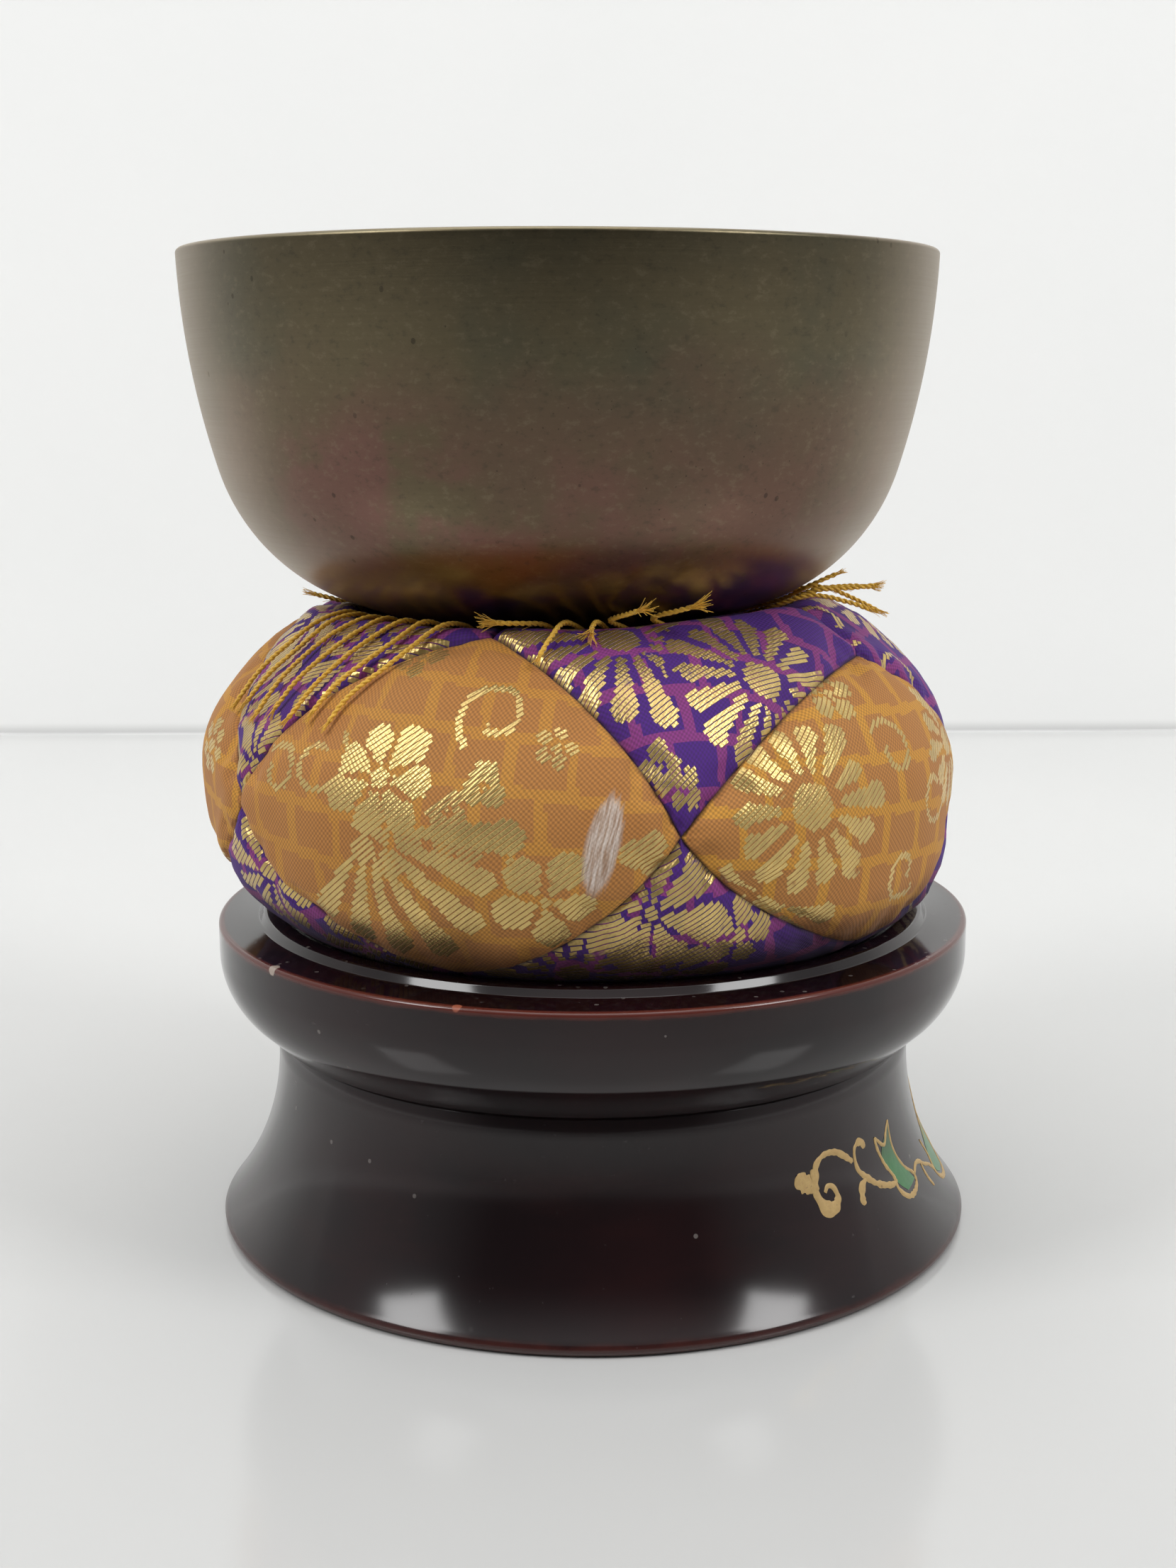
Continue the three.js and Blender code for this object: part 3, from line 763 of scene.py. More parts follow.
def chart_of(grid):
    """Flat coordinates in millimetres on the plane that touches the patch at its middle."""
    mid = CELLS // 2
    centre, normal = grid["base"][mid, mid], grid["normal"][mid, mid]
    east = unit(np.cross([0.0, 0.0, 1.0], normal))
    north = np.cross(normal, east)
    away = grid["base"] - centre
    x, y = away @ east, away @ north
    flat = np.maximum(np.hypot(x, y), 1e-6)
    true = np.linalg.norm(away, axis=-1)
    return np.stack([x * true / flat, y * true / flat], -1)


def on_chart(grid, chart, azimuth, z):
    """The chart's coordinates of the outer grid point nearest to an azimuth and height."""
    turn = np.angle(np.exp(1j * (grid["azimuth"] - math.radians(azimuth)))) * CUSHION["r"]
    under_bowl = np.hypot(grid["base"][..., 0], grid["base"][..., 1]) < 31
    gap = turn**2 + (grid["base"][..., 2] - z) ** 2 + under_bowl * 900
    j, i = np.unravel_index(np.argmin(gap), gap.shape)
    return dict(zip("uv", chart[j, i].tolist()))


def shell(outer, normal, thickness, flip):
    """A closed shell over a square grid of points."""
    number = np.arange(outer[..., 0].size).reshape(outer.shape[:2])
    faces = quads(*number.shape)
    inner = number.size
    faces += [[inner + a, inner + d, inner + c, inner + b] for a, b, c, d in faces]
    border = [number[0, :-1], number[:-1, -1], number[-1, :0:-1], number[:0:-1, 0]]
    border = np.concatenate(border).tolist()
    faces += [[a, inner + a, inner + b, b] for a, b in zip(border, border[1:] + border[:1])]
    verts = np.concatenate([outer.reshape(-1, 3), (outer - normal * thickness).reshape(-1, 3)])
    return verts, [face[::-1] for face in faces] if flip else faces


def flower(az, z, radius, petals, disc, **more):
    return {"kind": "petals", "az": az, "z": z, "radius": radius, "petals": petals, "disc": disc, **more}


def tendril(az, z, radius, turn, **more):
    return {"kind": "curl", "az": az, "z": z, "radius": radius, "turn": turn, **more}


# The woven figures at the front, by azimuth and height on each patch, then their size in millimetres.
FRONT_MARKS = {
    "side_patch_5": [
        tendril(-12.6, 69.6, 4.6, 0.35),
        flower(-27.5, 63.2, 6.4, 7, 1.1, wide=0.82),
        flower(-26.0, 56.5, 4.4, 5, 1.0, shine=0.72),
        flower(-12.8, 63.0, 2.6, 3, 0.4, turn=0.25),
        flower(-17.6, 60.6, 2.4, 3, 0.4, turn=0.4, shine=0.8),
        flower(-15.0, 55.8, 2.8, 4, 0.4, shine=0.62),
        flower(-2.8, 66.2, 2.5, 5, 0.6, shine=0.7),
        flower(-27.0, 57.6, 15.5, 17, 2.2, wide=0.66, sector=(-62, 74)),
        flower(-4.0, 50.6, 5.6, 5, 0.6, turn=0.2),
        flower(-29, 74.6, 3.8, 5, 0.8, shine=0.62),
        tendril(-38.5, 64, 4.2, 0.85, shine=0.9),
        tendril(-46, 62, 3.2, 0.6, shine=0.8),
        flower(8.8, 55.5, 2.9, 3, 0.3, turn=0.5, shine=0.85),
    ],
    "upper_patch_1": [
        flower(31.8, 72.2, 10.8, 16, 2.5, front=True),
        flower(8, 77.0, 12.5, 15, 2.4, turn=0.3),
        flower(11.2, 64.6, 2.9, 4, 0.4),
        flower(14.6, 62.2, 2.6, 4, 0.4, turn=0.5),
    ],
    "side_patch_1": [
        flower(32.4, 59.1, 10.2, 14, 2.6, wide=0.74, front=True),
        flower(27.0, 48.2, 8.4, 12, 1.9, turn=0.4),
        tendril(53.1, 49.4, 3.6, 0.1),
        tendril(52.0, 63.0, 3.8, 0.6, shine=0.85),
        tendril(62.0, 57.0, 4.2, 0.9, shine=0.85),
        flower(72.0, 62.0, 8.0, 12, 1.8),
        flower(44.0, 71.0, 4.0, 5, 0.6),
    ],
    "lower_patch_1": [
        flower(10.0, 49.0, 8.5, 8, 0.8, turn=0.2, wide=0.8),
        flower(-2.0, 41.5, 10, 14, 1.8),
        flower(21.5, 46.0, 4.2, 5, 0.7),
        flower(12.5, 41.5, 6.0, 7, 0.9),
    ],
    "upper_patch_5": [
        flower(-66, 66.5, 10.5, 14, 2.0),
        flower(-42, 74.5, 9, 13, 1.7, turn=0.4),
        flower(-55, 61.5, 6.5, 9, 1.0),
        flower(-70, 76.5, 8.5, 12, 1.6),
    ],
    "lower_patch_5": [
        flower(-52, 49.5, 8.0, 11, 1.2),
        flower(-36, 42.0, 7.0, 9, 1.0),
    ],
}


def own_marks(seed, azimuth, height):
    """Figures for a patch at the back: a large flower with curls and small flowers beside it."""
    rng = np.random.default_rng(seed)
    marks = [flower(
        azimuth + rng.uniform(-6, 6), height + rng.uniform(-3, 3), rng.uniform(9, 11.5),
        int(rng.integers(12, 17)), 2.3,
    )]
    for k, (da, dz) in enumerate([(-21, 7), (20, 6), (-17, -9), (22, -8)]):
        mark = flower(
            azimuth + da + rng.uniform(-4, 4), height + dz + rng.uniform(-2, 2),
            rng.uniform(3.4, 6.5), int(rng.integers(5, 10)), 0.9, turn=float(rng.uniform(0, 1)),
        )
        mark["kind"] = "petals" if k % 2 else "curl"
        marks.append(mark)
    return marks


PURPLE = ((0.068, 0.007, 0.225), (0.330, 0.045, 0.235))
ORANGE = ((0.520, 0.222, 0.050), (0.720, 0.350, 0.036))


def cushion_patches():
    """Every patch of the cover as (name, where it is, whether its grid is turned over)."""
    found = []
    for k, azimuth in enumerate(SEAM_AZIMUTHS):
        crossing, after = (azimuth, 1), (SEAM_AZIMUTHS[(k + 1) % 5], 1)
        upper, lower = UPPER_CORNERS[k], LOWER_CORNERS[k]
        found += [
            (f"upper_patch_{k + 1}", kite(UPPER_CORNERS[k - 1], crossing, upper, False), True),
            (f"side_patch_{k + 1}", side_patch(crossing, upper, after, lower), True),
            (f"lower_patch_{k + 1}", kite(LOWER_CORNERS[k - 1], crossing, lower, True), False),
        ]
    return found


def add_cushion():
    patches = cushion_patches()
    grids = [{**patch_grid(at), "flip": flip} for _, at, flip in patches]
    shapes = [puffed(grid) for grid in grids]
    shapes = inflated(grids, shapes)
    for seed, ((name, _, flip), grid, shape) in enumerate(zip(patches, grids, shapes)):
        chart = chart_of(grid)
        orange = name.startswith("side")
        mid = grid["base"][CELLS // 2, CELLS // 2]
        middle = math.degrees(grid["azimuth"][CELLS // 2, CELLS // 2])
        marks = FRONT_MARKS.get(name) or own_marks(60 + seed, middle, float(mid[2]))
        figures = [{**m, **on_chart(grid, chart, m["az"], m["z"])} for m in marks]
        worn = None
        if name == "side_patch_5":
            worn = {**on_chart(grid, chart, 3.4, 57.0), "turn": 78, "long": 6.4, "wide": 1.9}
        ground, bars = ORANGE if orange else PURPLE
        material = brocade(
            f"brocade_{name}", ground, bars, figures, floats=38 if orange else 30,
            fret=(seed * 37) % 50 - 25 if name not in FRONT_MARKS else (-6 if orange else -4),
            fret_share=0.45 if name == "side_patch_5" else 0.75,
            worn=worn,
        )
        uv = np.concatenate([chart.reshape(-1, 2)] * 2)
        obj = add_mesh(f"cover_{name}", *shell(shape, grid["normal"], SEWN["thickness"], flip), uv=uv)
        seam = obj.data.attributes.new("seam", "FLOAT", "POINT")
        seam.data.foreach_set("value", np.tile(grid["seam"].ravel(), 2).astype(np.float32))
        slot = "orange_brocade" if orange else "purple_brocade"
        settle(obj, "cushion", slot, material, name)


def add_stuffing():
    material, g, shader = new_material("cotton_wadding", Roughness=0.95, Sheen_Weight=0.3)
    p = g.coords()
    fluff = g.noise(p, 700, 6.0, 0.7, 0.6)
    finish(g, shader, {
        "Base_Color": g.mix(fluff, (0.55, 0.5, 0.42), (0.82, 0.78, 0.7)),
        "Normal": g.bump(fluff, 0.0006),
    })
    rings, segments, hole = 60, 96, 1.1
    first = math.asin(hole / CUSHION["r"])
    polar = np.linspace(first, math.pi - first, rings + 1)[:, None] * np.ones((1, segments))
    azimuth = (TAU * np.arange(segments) / segments)[None] * np.ones((rings + 1, 1))
    normal = cushion_normal(azimuth, polar)
    verts = cushion_point(azimuth, polar) - normal * 2.5
    verts -= normal * (waves(verts, 7, 21) * 0.25 + 0.25)[..., None]
    for j, lean in ((0, CUSHION["lean_x"]), (-1, 0)):
        verts[j, :, 0] = lean + hole * np.sin(azimuth[j])
        verts[j, :, 1] = -hole * np.cos(azimuth[j])
    verts = verts.reshape(-1, 3)
    # the last row joins the first one, along the hole for the tie
    faces = [[k % len(verts) for k in face[::-1]] for face in quads(rings + 2, segments, closed=True)]
    obj = add_mesh("stuffing", verts, faces)
    settle(obj, "cushion", "stuffing", material, "cushion_core")


def thread_material():
    material, g, shader = new_material("gold_silk_thread", Sheen_Weight=0.35, Sheen_Roughness=0.3)
    p = g.coords()
    fine, broad = g.noise(p, 2600, 3.0), g.noise(p, 130, 3.0)
    colour = g.mix(fine, (0.66, 0.33, 0.022), (0.92, 0.60, 0.085))
    colour = g.mix(g.smooth(broad, 0.4, 0.7, 0.0, 0.5), colour, (0.74, 0.41, 0.028))
    finish(g, shader, {
        "Base_Color": colour, "Roughness": 0.52, "Normal": g.bump(fine, 0.00006, 0.8),
    })
    return material


def add_knots(material):
    """Wound knots in the two dimples and the twisted shank between them."""
    for name, node, radius, half, z, lean in (
        ("knot", "tie_knot", 2.8, 1.5, 71.2, CUSHION["lean_x"]),
        ("base_knot", "tie_base_knot", 2.6, 1.1, 34.9, 0),
    ):
        strand = 0.42
        t = np.linspace(0, TAU, 400)
        wind = 2 + np.cos(5 * t)
        out = (radius - strand) / 3
        line = np.stack(
            [lean + wind * out * np.cos(3 * t), wind * out * np.sin(3 * t),
             z + (half - strand) * np.sin(5 * t)], -1,
        )
        line, _ = even(line, 0.16)
        inner = [tube(*ball_rings(lean, z, radius * 0.72, half * 0.7))]
        verts, faces = joined([twisted(line, strand, 2.2, seed=5), *inner])
        settle(add_mesh(name, verts, faces), "cushion", "gold_thread", material, node)
    inset = 1.4
    top, bottom = cushion_point(0.0, 0.0), cushion_point(0.0, math.pi)
    line, _ = even(np.array([top - [0, 0, inset], bottom + [0, 0, inset]]), 0.3)
    verts, faces = twisted(line, 0.7, 5.5, plies=3, seed=9)
    settle(add_mesh("shank", verts, faces), "cushion", "gold_thread", material, "tie_stem")


def ball_rings(x, z, radius, half):
    """Rings of a flat ball about the upright line through x, ready for tube()."""
    t = np.linspace(-1, 1, 13)
    centres = np.stack([t * 0 + x, t * 0, z + t * half], -1)
    side = np.tile([1.0, 0, 0], (13, 1))
    up = np.tile([0, 1.0, 0], (13, 1))
    return centres, side, up, radius * np.sqrt(np.maximum(1 - t**2, 0.0004)), 20


# ---- Turned parts -------------------------------------------------------------------------
def arc(cx, cz, r, start, end, steps):
    a = np.radians(np.linspace(start, end, steps + 1))
    return [(cx + r * math.cos(q), cz + r * math.sin(q)) for q in a]


def turned(outline, segments=240):
    """An outline [radius, height] turned about Z; it runs counter-clockwise and ends on the axis."""
    verts, faces, rings = [], [], []
    angle = TAU * np.arange(segments) / segments
    for r, z in outline:
        rings.append((len(verts), r < 1e-6))
        if r < 1e-6:
            verts.append((0.0, 0.0, z))
        else:
            verts += [(r * math.cos(a), r * math.sin(a), z) for a in angle]
    for (a, a_pole), (b, b_pole) in zip(rings, rings[1:]):
        for i in range(segments):
            k = (i + 1) % segments
            if a_pole:
                faces.append([a, b + k, b + i])
            elif b_pole:
                faces.append([a + i, a + k, b])
            else:
                faces.append([a + i, a + k, b + k, b + i])
    return np.array(verts), faces


def bowl_outline(inwards):
    points = [(0.0, float(inwards))]
    spans = (
        (BOWL["base_arc"], 0, BOWL["base_end"], 26),
        (BOWL["turn_arc"], BOWL["base_end"], BOWL["turn_end"], 30),
        (BOWL["side_arc"], BOWL["turn_end"], BOWL["side_end"], 26),
    )
    for radius, start, end, steps in spans:
        r0, z0 = points[-1]
        for i in range(1, steps + 1):
            a = start + (end - start) * i / steps
            reach = radius - inwards
            points.append((
                r0 + reach * (math.sin(a) - math.sin(start)),
                z0 + reach * (math.cos(start) - math.cos(a)),
            ))
    return points


def bronze():
    material, g, shader = new_material("brushed_bronze", Metallic=1.0, Anisotropic=0.45)
    p = g.coords()
    z = g.split(p)[2] * 1000
    fine = g.noise(g.stretch(p, (26, 26, 5200)), 1.0, 4.0, 0.62)
    broad = g.noise(g.stretch(p, (12, 12, 3400)), 1.0, 4.0)
    cloud = g.noise(p, 34, 4.0, 0.6)
    cloud_two = g.noise(g.stretch(p, (1, 1, 1), (3, 1, 2)), 62, 5.0, 0.62)
    band = g.smooth(z + (cloud - 0.5) * 26, 80.0, 86.0) * g.smooth(z + (cloud - 0.5) * 26, 106.0, 91.0)
    red = band * g.smooth(cloud_two, 0.40, 0.56)
    warm = g.smooth(z + (cloud_two - 0.5) * 30, 108.0, 96.0) * g.smooth(cloud, 0.35, 0.6)
    low = g.smooth(z + (cloud_two - 0.5) * 10, 85.0, 76.0)
    stain = g.specks(g.stretch(p, (1, 1, 0.8)), 420, 0.11) * g.smooth(cloud_two, 0.5, 0.62)
    pits = g.specks(p, 900, 0.085) * g.smooth(cloud, 0.45, 0.6)
    grain = g.noise(g.stretch(p, (700, 700, 1100)), 1.0, 4.0, 0.7)
    lip = g.smooth(z, 118.5, 118.85)
    # Lighter towards the bowl's outline, where the surface turns away from the view: a painted reflection.
    facing = g.apply("ShaderNodeLayerWeight", output="Facing")
    colour = g.layers(
        g.mix(g.smooth(broad, 0.3, 0.7), (0.117, 0.096, 0.058), (0.123, 0.101, 0.061)),
        (g.smooth(cloud, 0.42, 0.68, 0.0, 0.6), (0.078, 0.080, 0.058)),
        (red * 0.8, (0.168, 0.084, 0.072)),
        (warm * 0.65, (0.140, 0.086, 0.060)),
        (low * 0.6, (0.23, 0.16, 0.065)),
        (stain * 0.45, (0.04, 0.035, 0.03)),
        (pits * 0.5, (0.03, 0.025, 0.02)),
        (g.smooth(grain, 0.52, 0.72, 0.0, 0.34), (0.21, 0.172, 0.112)),
        (g.smooth(grain, 0.46, 0.3, 0.0, 0.4), (0.062, 0.054, 0.040)),
        (lip * 0.7, (0.34, 0.30, 0.20)),
        # painted reflection: lighter towards the outline
        (g.smooth(facing, 0.34, 1.0, 0.0, 0.85), (0.355, 0.286, 0.208)),
    )
    rough = 0.25 + 0.1 * cloud + 0.1 * fine + stain * 0.2
    tangent = g.apply("ShaderNodeTangent", direction_type="RADIAL", axis="Z")
    finish(g, shader, {
        "Base_Color": colour, "Roughness": rough, "Tangent": tangent,
        "Normal": g.bump(fine + pits * -0.8, 0.00001, 0.55),
    })
    return material


def add_bowl(material):
    outer, inner = bowl_outline(0), bowl_outline(BOWL["wall"])
    rim_r, rim_z = outer[-1]
    small = BOWL["rim_round"]
    lip = arc(rim_r - small, rim_z, small, 4, 90, 7)
    lip += arc(rim_r - BOWL["wall"] + small, rim_z, small, 90, 176, 7)
    verts, faces = turned(outer + lip + inner[::-1], 288)
    x, z = rotated(verts[:, 0], verts[:, 2], math.degrees(BOWL["tilt"]))
    verts = np.stack([x + BOWL["offset_x"], verts[:, 1], z + BOWL["seat_z"]], -1)
    settle(add_mesh("bell_bowl", verts, faces), "bowl", "bronze", material, "bowl")


def lacquer():
    material, g, shader = new_material("wine_lacquer", IOR=1.5)
    p = g.coords()
    x, y, z = g.split(p)
    z = z * 1000
    r = g.math("SQRT", x * x + y * y) * 1000
    cloud = g.noise(p, 45, 3.0)
    grain = g.noise(g.stretch(p, (60, 60, 240)), 1.0, 4.0)
    wobble = (g.noise(p, 300, 3.0) - 0.5) * 0.9
    edge = g.smooth(z + wobble * 0.5, 37.9, 38.6) * g.smooth(r, 45.9, 46.3) * g.smooth(z, 40.0, 39.4)
    foot = g.smooth(z + wobble, 1.9, 1.0) * g.smooth(r, 44.0, 45.0)
    up = g.split(g.apply("ShaderNodeNewGeometry", output="Normal"))[2]
    flat = g.smooth(up, 0.55, 0.9)
    lint = g.specks(p, 620, 0.16) * g.smooth(g.noise(p, 210, 2.0), 0.5, 0.6)
    film = g.smooth(g.noise(p, 900, 5.0, 0.7), 0.45, 0.75)
    dust = flat * (film * 0.03 + lint * 0.3)
    dots = g.specks(g.stretch(p, (1, 1, 1), (0.3, 0.1, 0.7)), 210, 0.055) * g.smooth(cloud, 0.5, 0.56)
    dust = g.largest([dust, dots * 0.35])
    hairs = g.noise(g.stretch(p, (2600, 90, 400)), 1.0, 2.0)
    hairs = hairs + g.noise(g.stretch(p, (120, 900, 2400)), 1.0, 1.0)
    scratch = g.smooth(hairs, 1.36, 1.44)
    chips = []
    for azimuth, height, size, tint in (
        (-51.0, 38.6, 0.8, (0.38, 0.31, 0.26)), (-18.0, 38.8, 0.7, (0.30, 0.085, 0.045)),
        (27.0, 1.4, 0.8, (0.12, 0.03, 0.02)), (150.0, 38.7, 0.8, (0.3, 0.08, 0.04)),
    ):
        centre = [q * MM for q in about_axis(46.4, azimuth, height)]
        far = g.apply("ShaderNodeVectorMath", (p, centre), "Value", operation="DISTANCE")
        far = far * 1000 + wobble * 1.1
        chips.append((g.smooth(far, size, size * 0.75), tint))
    colour = g.layers(
        g.mix(g.smooth(cloud, 0.35, 0.7), (0.0065, 0.0026, 0.0032), (0.0125, 0.0036, 0.0042)),
        (g.smooth(grain, 0.45, 0.8, 0.0, 0.5), (0.018, 0.005, 0.005)),
        (edge * 0.85, (0.105, 0.021, 0.014)),
        (foot * 0.75, (0.060, 0.015, 0.012)),
        (dust, (0.30, 0.27, 0.25)),
        (scratch * 0.22, (0.10, 0.09, 0.09)),
        *chips,
    )
    polish = g.smooth(z, 25.5, 23.5, 0.105, 0.15)
    worn = g.largest([dust * 0.8, edge * 0.14, foot * 0.12, *[chip * 0.6 for chip, _ in chips]])
    finish(g, shader, {
        "Base_Color": colour, "Roughness": polish + worn * 0.6 + scratch * 0.1,
        "Normal": g.bump(g.noise(p, 70, 2.0) + g.noise(p, 1500, 2.0) * 0.02, 0.00012, 0.25),
        "Specular_IOR_Level": 0.5,
    })
    return material


# The pedestal's hollow side: an arc about this point outside it.
FLARE = {"centre_r": 72.4, "centre_z": 22, "radius": 32.5}


def flare_radius(z):
    below = FLARE["centre_z"] - min(z, FLARE["centre_z"])
    return FLARE["centre_r"] - math.sqrt(FLARE["radius"] ** 2 - below**2)


def add_stand(material):
    cr, cz, radius = FLARE["centre_r"], FLARE["centre_z"], FLARE["radius"]
    low = 180 + math.degrees(math.asin((cz - 1.2) / radius))
    pedestal = [
        (0, 4), (35.6, 4), *arc(36, 3, 1, 90, 0, 5), (37, 0.3), (37.3, 0), (45.5, 0),
        *arc(46.25, 1.15, 1.15, -90, 0, 8), *arc(cr, cz, radius, low, 180, 48)[1:],
        (39.9, 24.4), (39.6, 24.7), (30.3, 24.7), (30, 25), (30, 27.5), (29.8, 27.7), (0, 27.7),
    ]
    verts, faces = turned(pedestal)
    settle(add_mesh("pedestal", verts, faces, sharp=50), "stand", "lacquer", material, "stand_pedestal")
    dish_top = math.degrees(math.acos((39 - 26) / 17.5))
    tray = [
        (0, 28), (30.3, 28), (30.3, 25.3), (30.6, 25), (40.6, 25), (40.9, 25.2),
        *arc(36.8, 35, 10, -42, 0, 24), *arc(46.3, 38.4, 0.5, 0, 90, 8), (42.0, 38.9),
        (41.86, 38.96), (41.76, 39.1), *arc(40.85, 39.45, 0.55, 30, 90, 8),
        *arc(39.4, 39.6, 0.4, 90, 180, 6), *arc(26, 50.9, 17.5, -dish_top, -90, 26), (0, 33.4),
    ]
    verts, faces = turned(tray)
    settle(add_mesh("tray", verts, faces, sharp=50), "stand", "lacquer", material, "stand_tray")


# ---- Painted spray on the pedestal --------------------------------------------------------
# Brush strokes as azimuth in degrees, height and half width in millimetres.
STROKES = [
    [(37.7, 13.2, 0.5), (38.4, 14.4, 0.55), (38.9, 15.8, 0.42), (40.7, 16.7, 0.36), (43.6, 16.6, 0.36),
     (45.7, 15.8, 0.4), (47.8, 14.7, 0.28)],
    [(51.7, 15.6, 0.3), (51.0, 16.3, 0.46), (50.0, 16.5, 0.42), (48.8, 16.0, 0.3), (48.5, 14.9, 0.26),
     (48.9, 13.5, 0.32), (50.9, 12.2, 0.4), (53.3, 11.0, 0.42), (57.8, 9.9, 0.36), (59.4, 10.0, 0.26)],
    [(50.4, 12.2, 0.3), (48.9, 11.5, 0.55), (48.3, 10.2, 0.62), (48.6, 9.7, 0.3)],
    [(34.6, 15.4, 0.5), (35.4, 14.7, 1.15), (36.6, 14.0, 1.0), (37.8, 13.2, 0.45)],
    [(37.8, 13.4, 0.35), (38.6, 12.0, 0.6), (39.8, 10.9, 0.95), (41.6, 10.8, 0.85), (42.6, 11.7, 0.5),
     (42.0, 12.9, 0.32), (40.8, 13.2, 0.3), (40.0, 12.6, 0.28)],
    [(38.0, 15.6, 0.3), (38.0, 14.4, 0.4), (38.6, 13.1, 0.3)],
    [(55.2, 16.0, 0.2), (55.6, 14.6, 0.26), (56.9, 12.5, 0.26), (58.9, 10.4, 0.28), (59.0, 9.2, 0.3),
     (61.2, 7.7, 0.34), (64.0, 7.5, 0.34), (66.4, 8.2, 0.3), (66.5, 9.0, 0.28), (63.6, 10.6, 0.22),
     (61.8, 12.3, 0.22), (61.0, 13.8, 0.2), (60.9, 15.6, 0.18), (61.0, 16.9, 0.12)],
    [(55.2, 16.0, 0.2), (58.2, 14.5, 0.28), (59.6, 15.7, 0.24), (61.0, 16.9, 0.12)],
    [(66.8, 9.0, 0.28), (69.0, 9.6, 0.3), (71.2, 9.3, 0.3), (73.4, 8.4, 0.26), (75.8, 7.7, 0.28),
     (78.4, 6.4, 0.28)],
    [(71.6, 8.9, 0.22), (72.0, 7.4, 0.28), (73.2, 5.8, 0.3)],
    [(76.5, 10.6, 0.2), (78.6, 8.2, 0.26), (78.2, 6.2, 0.28), (80.5, 4.8, 0.34), (86.0, 4.4, 0.34),
     (88.6, 6.0, 0.3), (87.4, 9.0, 0.24), (84.0, 12.2, 0.18)],
    [(81.8, 9.2, 0.2), (84.0, 12.4, 0.55), (86.5, 15.2, 0.7), (90.0, 17.2, 0.3)],
    [(88.4, 6.2, 0.3), (93.0, 7.6, 0.3), (98.0, 10.2, 0.4), (103.0, 10.6, 0.6), (106.0, 9.2, 0.25)],
    [(97.6, 10.2, 0.25), (99.0, 13.2, 0.4), (102.4, 15.2, 0.55), (106.5, 15.0, 0.3)],
]
# Leaves between a left and a right edge, from tip to root.
LEAVES = [
    ([(60.9, 16.6), (56.6, 13.6), (57.6, 12.0), (59.6, 9.6), (62.0, 8.2)],
     [(61.0, 16.6), (61.0, 14.4), (61.9, 12.4), (64.2, 10.2), (66.0, 8.6)]),
    ([(84.0, 12.0), (79.2, 8.2), (79.0, 6.2), (81.4, 5.2)],
     [(84.1, 12.0), (86.8, 9.0), (87.8, 6.6), (86.0, 4.9)]),
]


def on_flare(points):
    return np.array([about_axis(flare_radius(z), azimuth, z) for azimuth, z in points])


def flare_normals(points):
    r = np.hypot(points[:, 0], points[:, 1])
    up = np.maximum(FLARE["centre_z"] - points[:, 2], 0) / FLARE["radius"]
    level = np.sqrt(1 - up**2)
    return np.stack([points[:, 0] / r * level, points[:, 1] / r * level, up], -1)


def ribbon(stroke, seed):
    """A raised brush stroke that follows the pedestal's surface."""
    s = np.array(stroke)
    plan = smooth_curve(np.stack([s[:, 0] * 0.8, s[:, 1], s[:, 2]], -1), 14)
    plan[:, 0] /= 0.8
    line = on_flare(plan[:, :2])
    normal = flare_normals(line)
    tangent = unit(np.gradient(line, axis=0))
    side = unit(np.cross(normal, tangent))
    rough = 1 + 0.16 * waves(line, 0.9, seed)
    half = (plan[:, 2] * rough)[:, None]
    half[0] *= 0.35
    half[-1] *= 0.35
    rows = []
    for share, lift in ((-1, 0.0), (-0.72, 0.06), (0, 0.085), (0.72, 0.06), (1, 0.0)):
        at = line + side * half * share
        a = np.degrees(np.arctan2(at[:, 0], -at[:, 1]))
        on = on_flare(np.stack([a, at[:, 2]], -1))
        rows.append(on + flare_normals(on) * (lift + 0.012))
    return np.concatenate(rows), quads(len(rows), len(line))


def leaf(left, right):
    sides = [smooth_curve([(a, z, 0) for a, z in edge], 10)[:, :2] for edge in (left, right)]
    rows = []
    for t in np.linspace(0, 1, 9):
        on = on_flare(sides[0] * (1 - t) + sides[1] * t)
        rows.append(on + flare_normals(on) * (0.03 + 0.03 * math.sin(math.pi * t)))
    return np.concatenate(rows), quads(len(rows), len(sides[0]))


def add_painting():
    gilt, g, shader = new_material("painted_gold", Roughness=0.5, Metallic=0.25)
    p = g.coords()
    grain = g.noise(p, 1900, 4.0, 0.65)
    worn = g.smooth(g.noise(p, 700, 4.0), 0.36, 0.28)
    colour = g.mix(grain, (0.42, 0.26, 0.10), (0.66, 0.47, 0.20))
    finish(g, shader, {
        "Base_Color": g.mix(worn * 0.7, colour, (0.10, 0.05, 0.03)),
        "Normal": g.bump(grain, 0.00005),
    })
    green, g, shader = new_material("painted_leaf", Roughness=0.3)
    p = g.coords()
    z = g.split(p)[2] * 1000
    grain = g.noise(p, 900, 4.0)
    colour = g.mix(grain, (0.035, 0.150, 0.050), (0.060, 0.220, 0.075))
    colour = g.mix(g.smooth(z, 11.5, 15.5, 0.0, 0.72), colour, (0.055, 0.06, 0.035))
    finish(g, shader, {"Base_Color": colour, "Normal": g.bump(grain, 0.00004)})
    verts, faces = joined([ribbon(s, 80 + k) for k, s in enumerate(STROKES)])
    settle(add_mesh("painted_stems", verts, faces), "stand", "lacquer", gilt)
    verts, faces = joined([leaf(*pair) for pair in LEAVES])
    settle(add_mesh("painted_leaves", verts, faces), "stand", "lacquer", green)


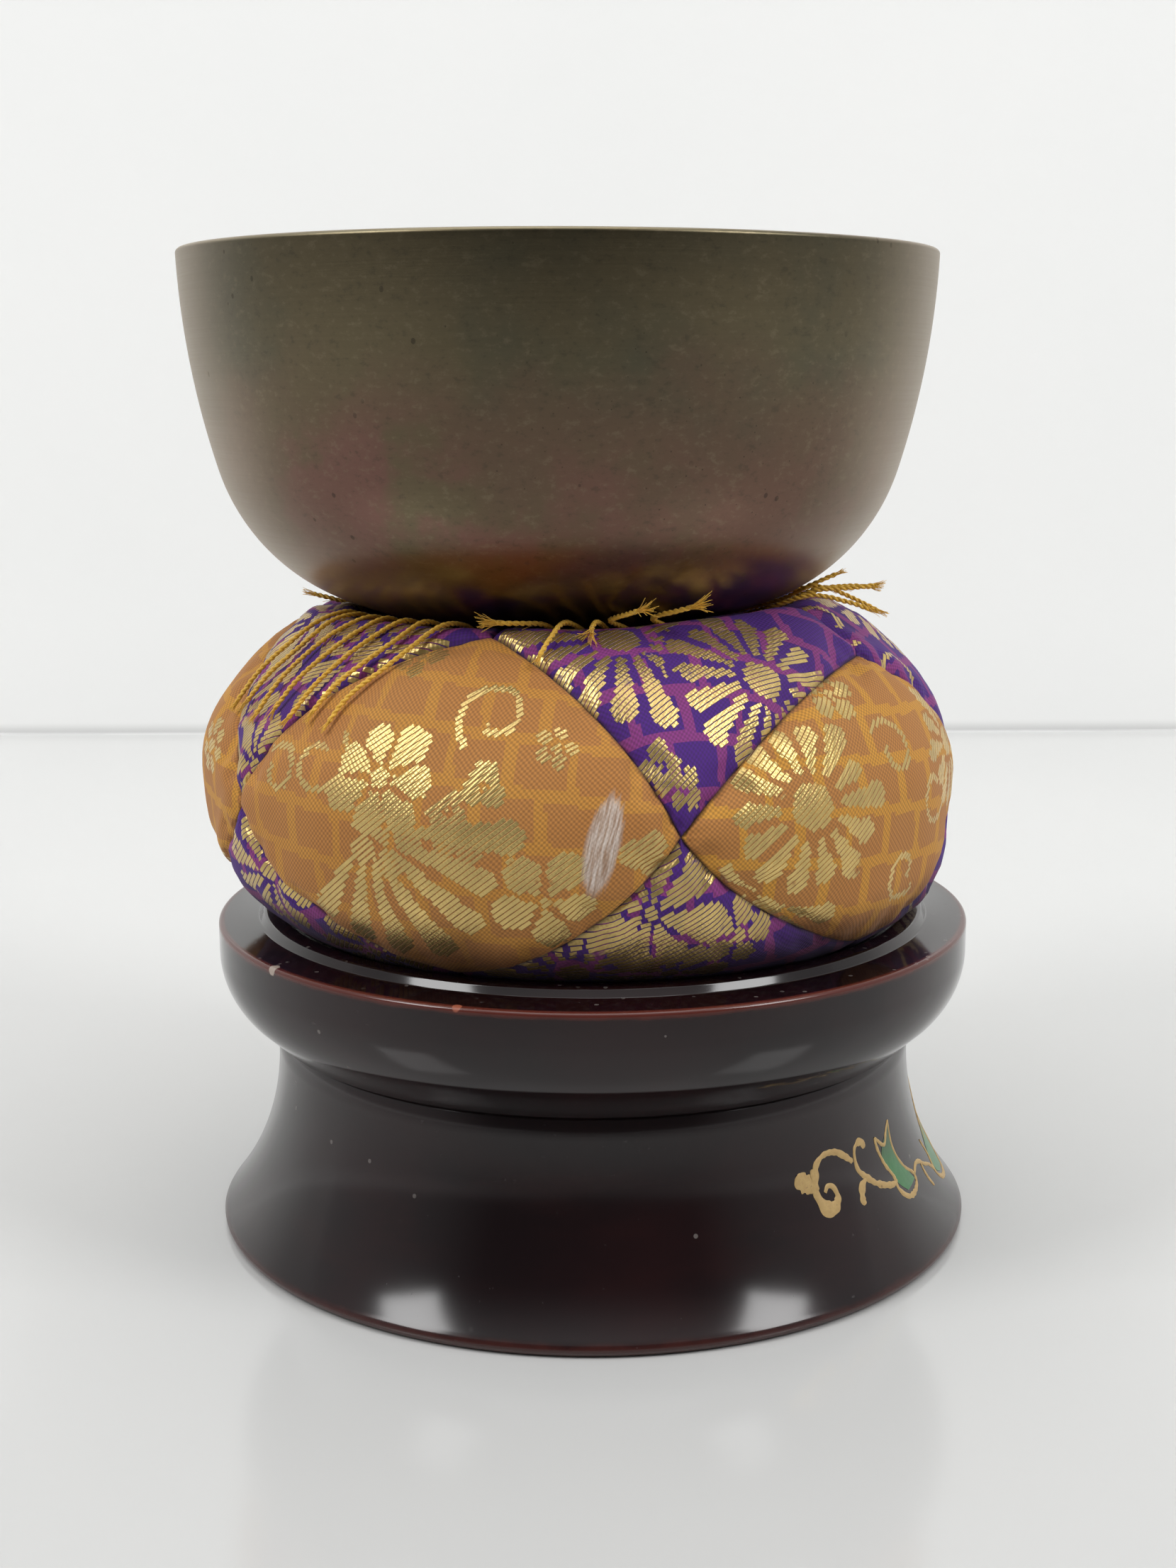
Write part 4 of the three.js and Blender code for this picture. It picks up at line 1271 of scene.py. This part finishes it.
# ---- Stage --------------------------------------------------------------------------------
def add_stage():
    material, g, shader = new_material("pale_table", Roughness=0.16, IOR=1.45)
    p = g.coords()
    veil = g.noise(g.stretch(p, (1, 0.35, 1)), 9, 4.0)
    x, y, z = g.split(p)
    # Painted shadow: the floor is darker towards the front, on the camera's side.
    shade = g.smooth(y, -0.22, 0.32, 0.55, 0.76)
    shade = g.combine(shade, shade, shade)
    pale = g.mix(veil, (0.90, 0.91, 0.90), (0.96, 0.96, 0.945))
    # The wall glows faintly to look evenly bright. The floor far to each side glows as painted light, to
    # show as lighter reflections in the bowl.
    wall = g.smooth(z, 0.0, 0.004, 0.0, 0.24)
    beside = g.smooth(g.math("ABSOLUTE", x), 0.13, 0.45, 0.0, 0.28)
    finish(g, shader, {
        "Base_Color": g.mix(1.0, pale, shade, "MULTIPLY"),
        "Roughness": 0.1 + 0.06 * veil, "Specular_IOR_Level": 0.75,
        "Emission_Color": (1.0, 1.0, 0.985), "Emission_Strength": g.largest([wall, beside]),
    })
    back, half, bend = 352, 4000, 1
    profile = [(-2500, 0), (back - bend, 0)]
    for q in np.radians(np.linspace(9, 81, 9)):
        profile.append((back - bend + bend * math.sin(q), bend - bend * math.cos(q)))
    profile += [(back, bend), (back, 2600)]
    verts = [(x, y, z) for x in (-half, half) for y, z in profile]
    n = len(profile)
    floor = add_mesh("table", verts, [[i, n + i, n + i + 1, i + 1] for i in range(n - 1)])
    floor.data.materials.append(material)


def add_window(name, azimuth, elevation, distance, width, height, power):
    data = bpy.data.lights.new(name, "AREA")
    data.shape, data.size, data.size_y, data.energy = "RECTANGLE", width, height, power
    light = placed(name, data)
    e = math.radians(elevation)
    away = Vector(about_axis(math.cos(e), azimuth, math.sin(e)))
    light.location = away * distance + Vector((0, 0, 0.04))
    light.rotation_mode = "QUATERNION"
    light.rotation_quaternion = away.to_track_quat("Z", "Y")


def add_world():
    world = bpy.data.worlds.new("studio")
    bpy.context.scene.world = world
    world.use_nodes = True
    g = Graph(world.node_tree)
    out = g.node("ShaderNodeOutputWorld")
    back = g.node("ShaderNodeBackground")
    g.tree.links.new(back.outputs[0], out.inputs["Surface"])
    x, y, z = g.split(g.apply("ShaderNodeTexCoord", output="Generated"))
    top = g.smooth(z, 0.5, 0.95)
    front = g.smooth(y, 0.3, -0.6) * (1 - 0.6 * g.smooth(g.math("ABSOLUTE", x), 0.5, 0.92))
    glow = 0.8 + top * 0.6 - front * (1 - top) * 0.68
    g.put(g.combine(glow, glow, glow * 1.01), back.inputs["Color"])
    back.inputs["Strength"].default_value = 0.68


add_camera()
silk = thread_material()
add_threads(silk)
add_knots(silk)
add_cushion()
add_stuffing()
add_bowl(bronze())
add_stand(lacquer())
add_painting()
add_stage()
add_world()
add_window("window_left", -60, 40, 0.9, 0.27, 0.36, 3.0)
add_window("window_right", 60, 40, 0.9, 0.27, 0.36, 3.0)
add_window("overhead", 0, 84, 1.2, 0.9, 0.9, 4.2)
bpy.context.scene.view_settings.view_transform = "Standard"
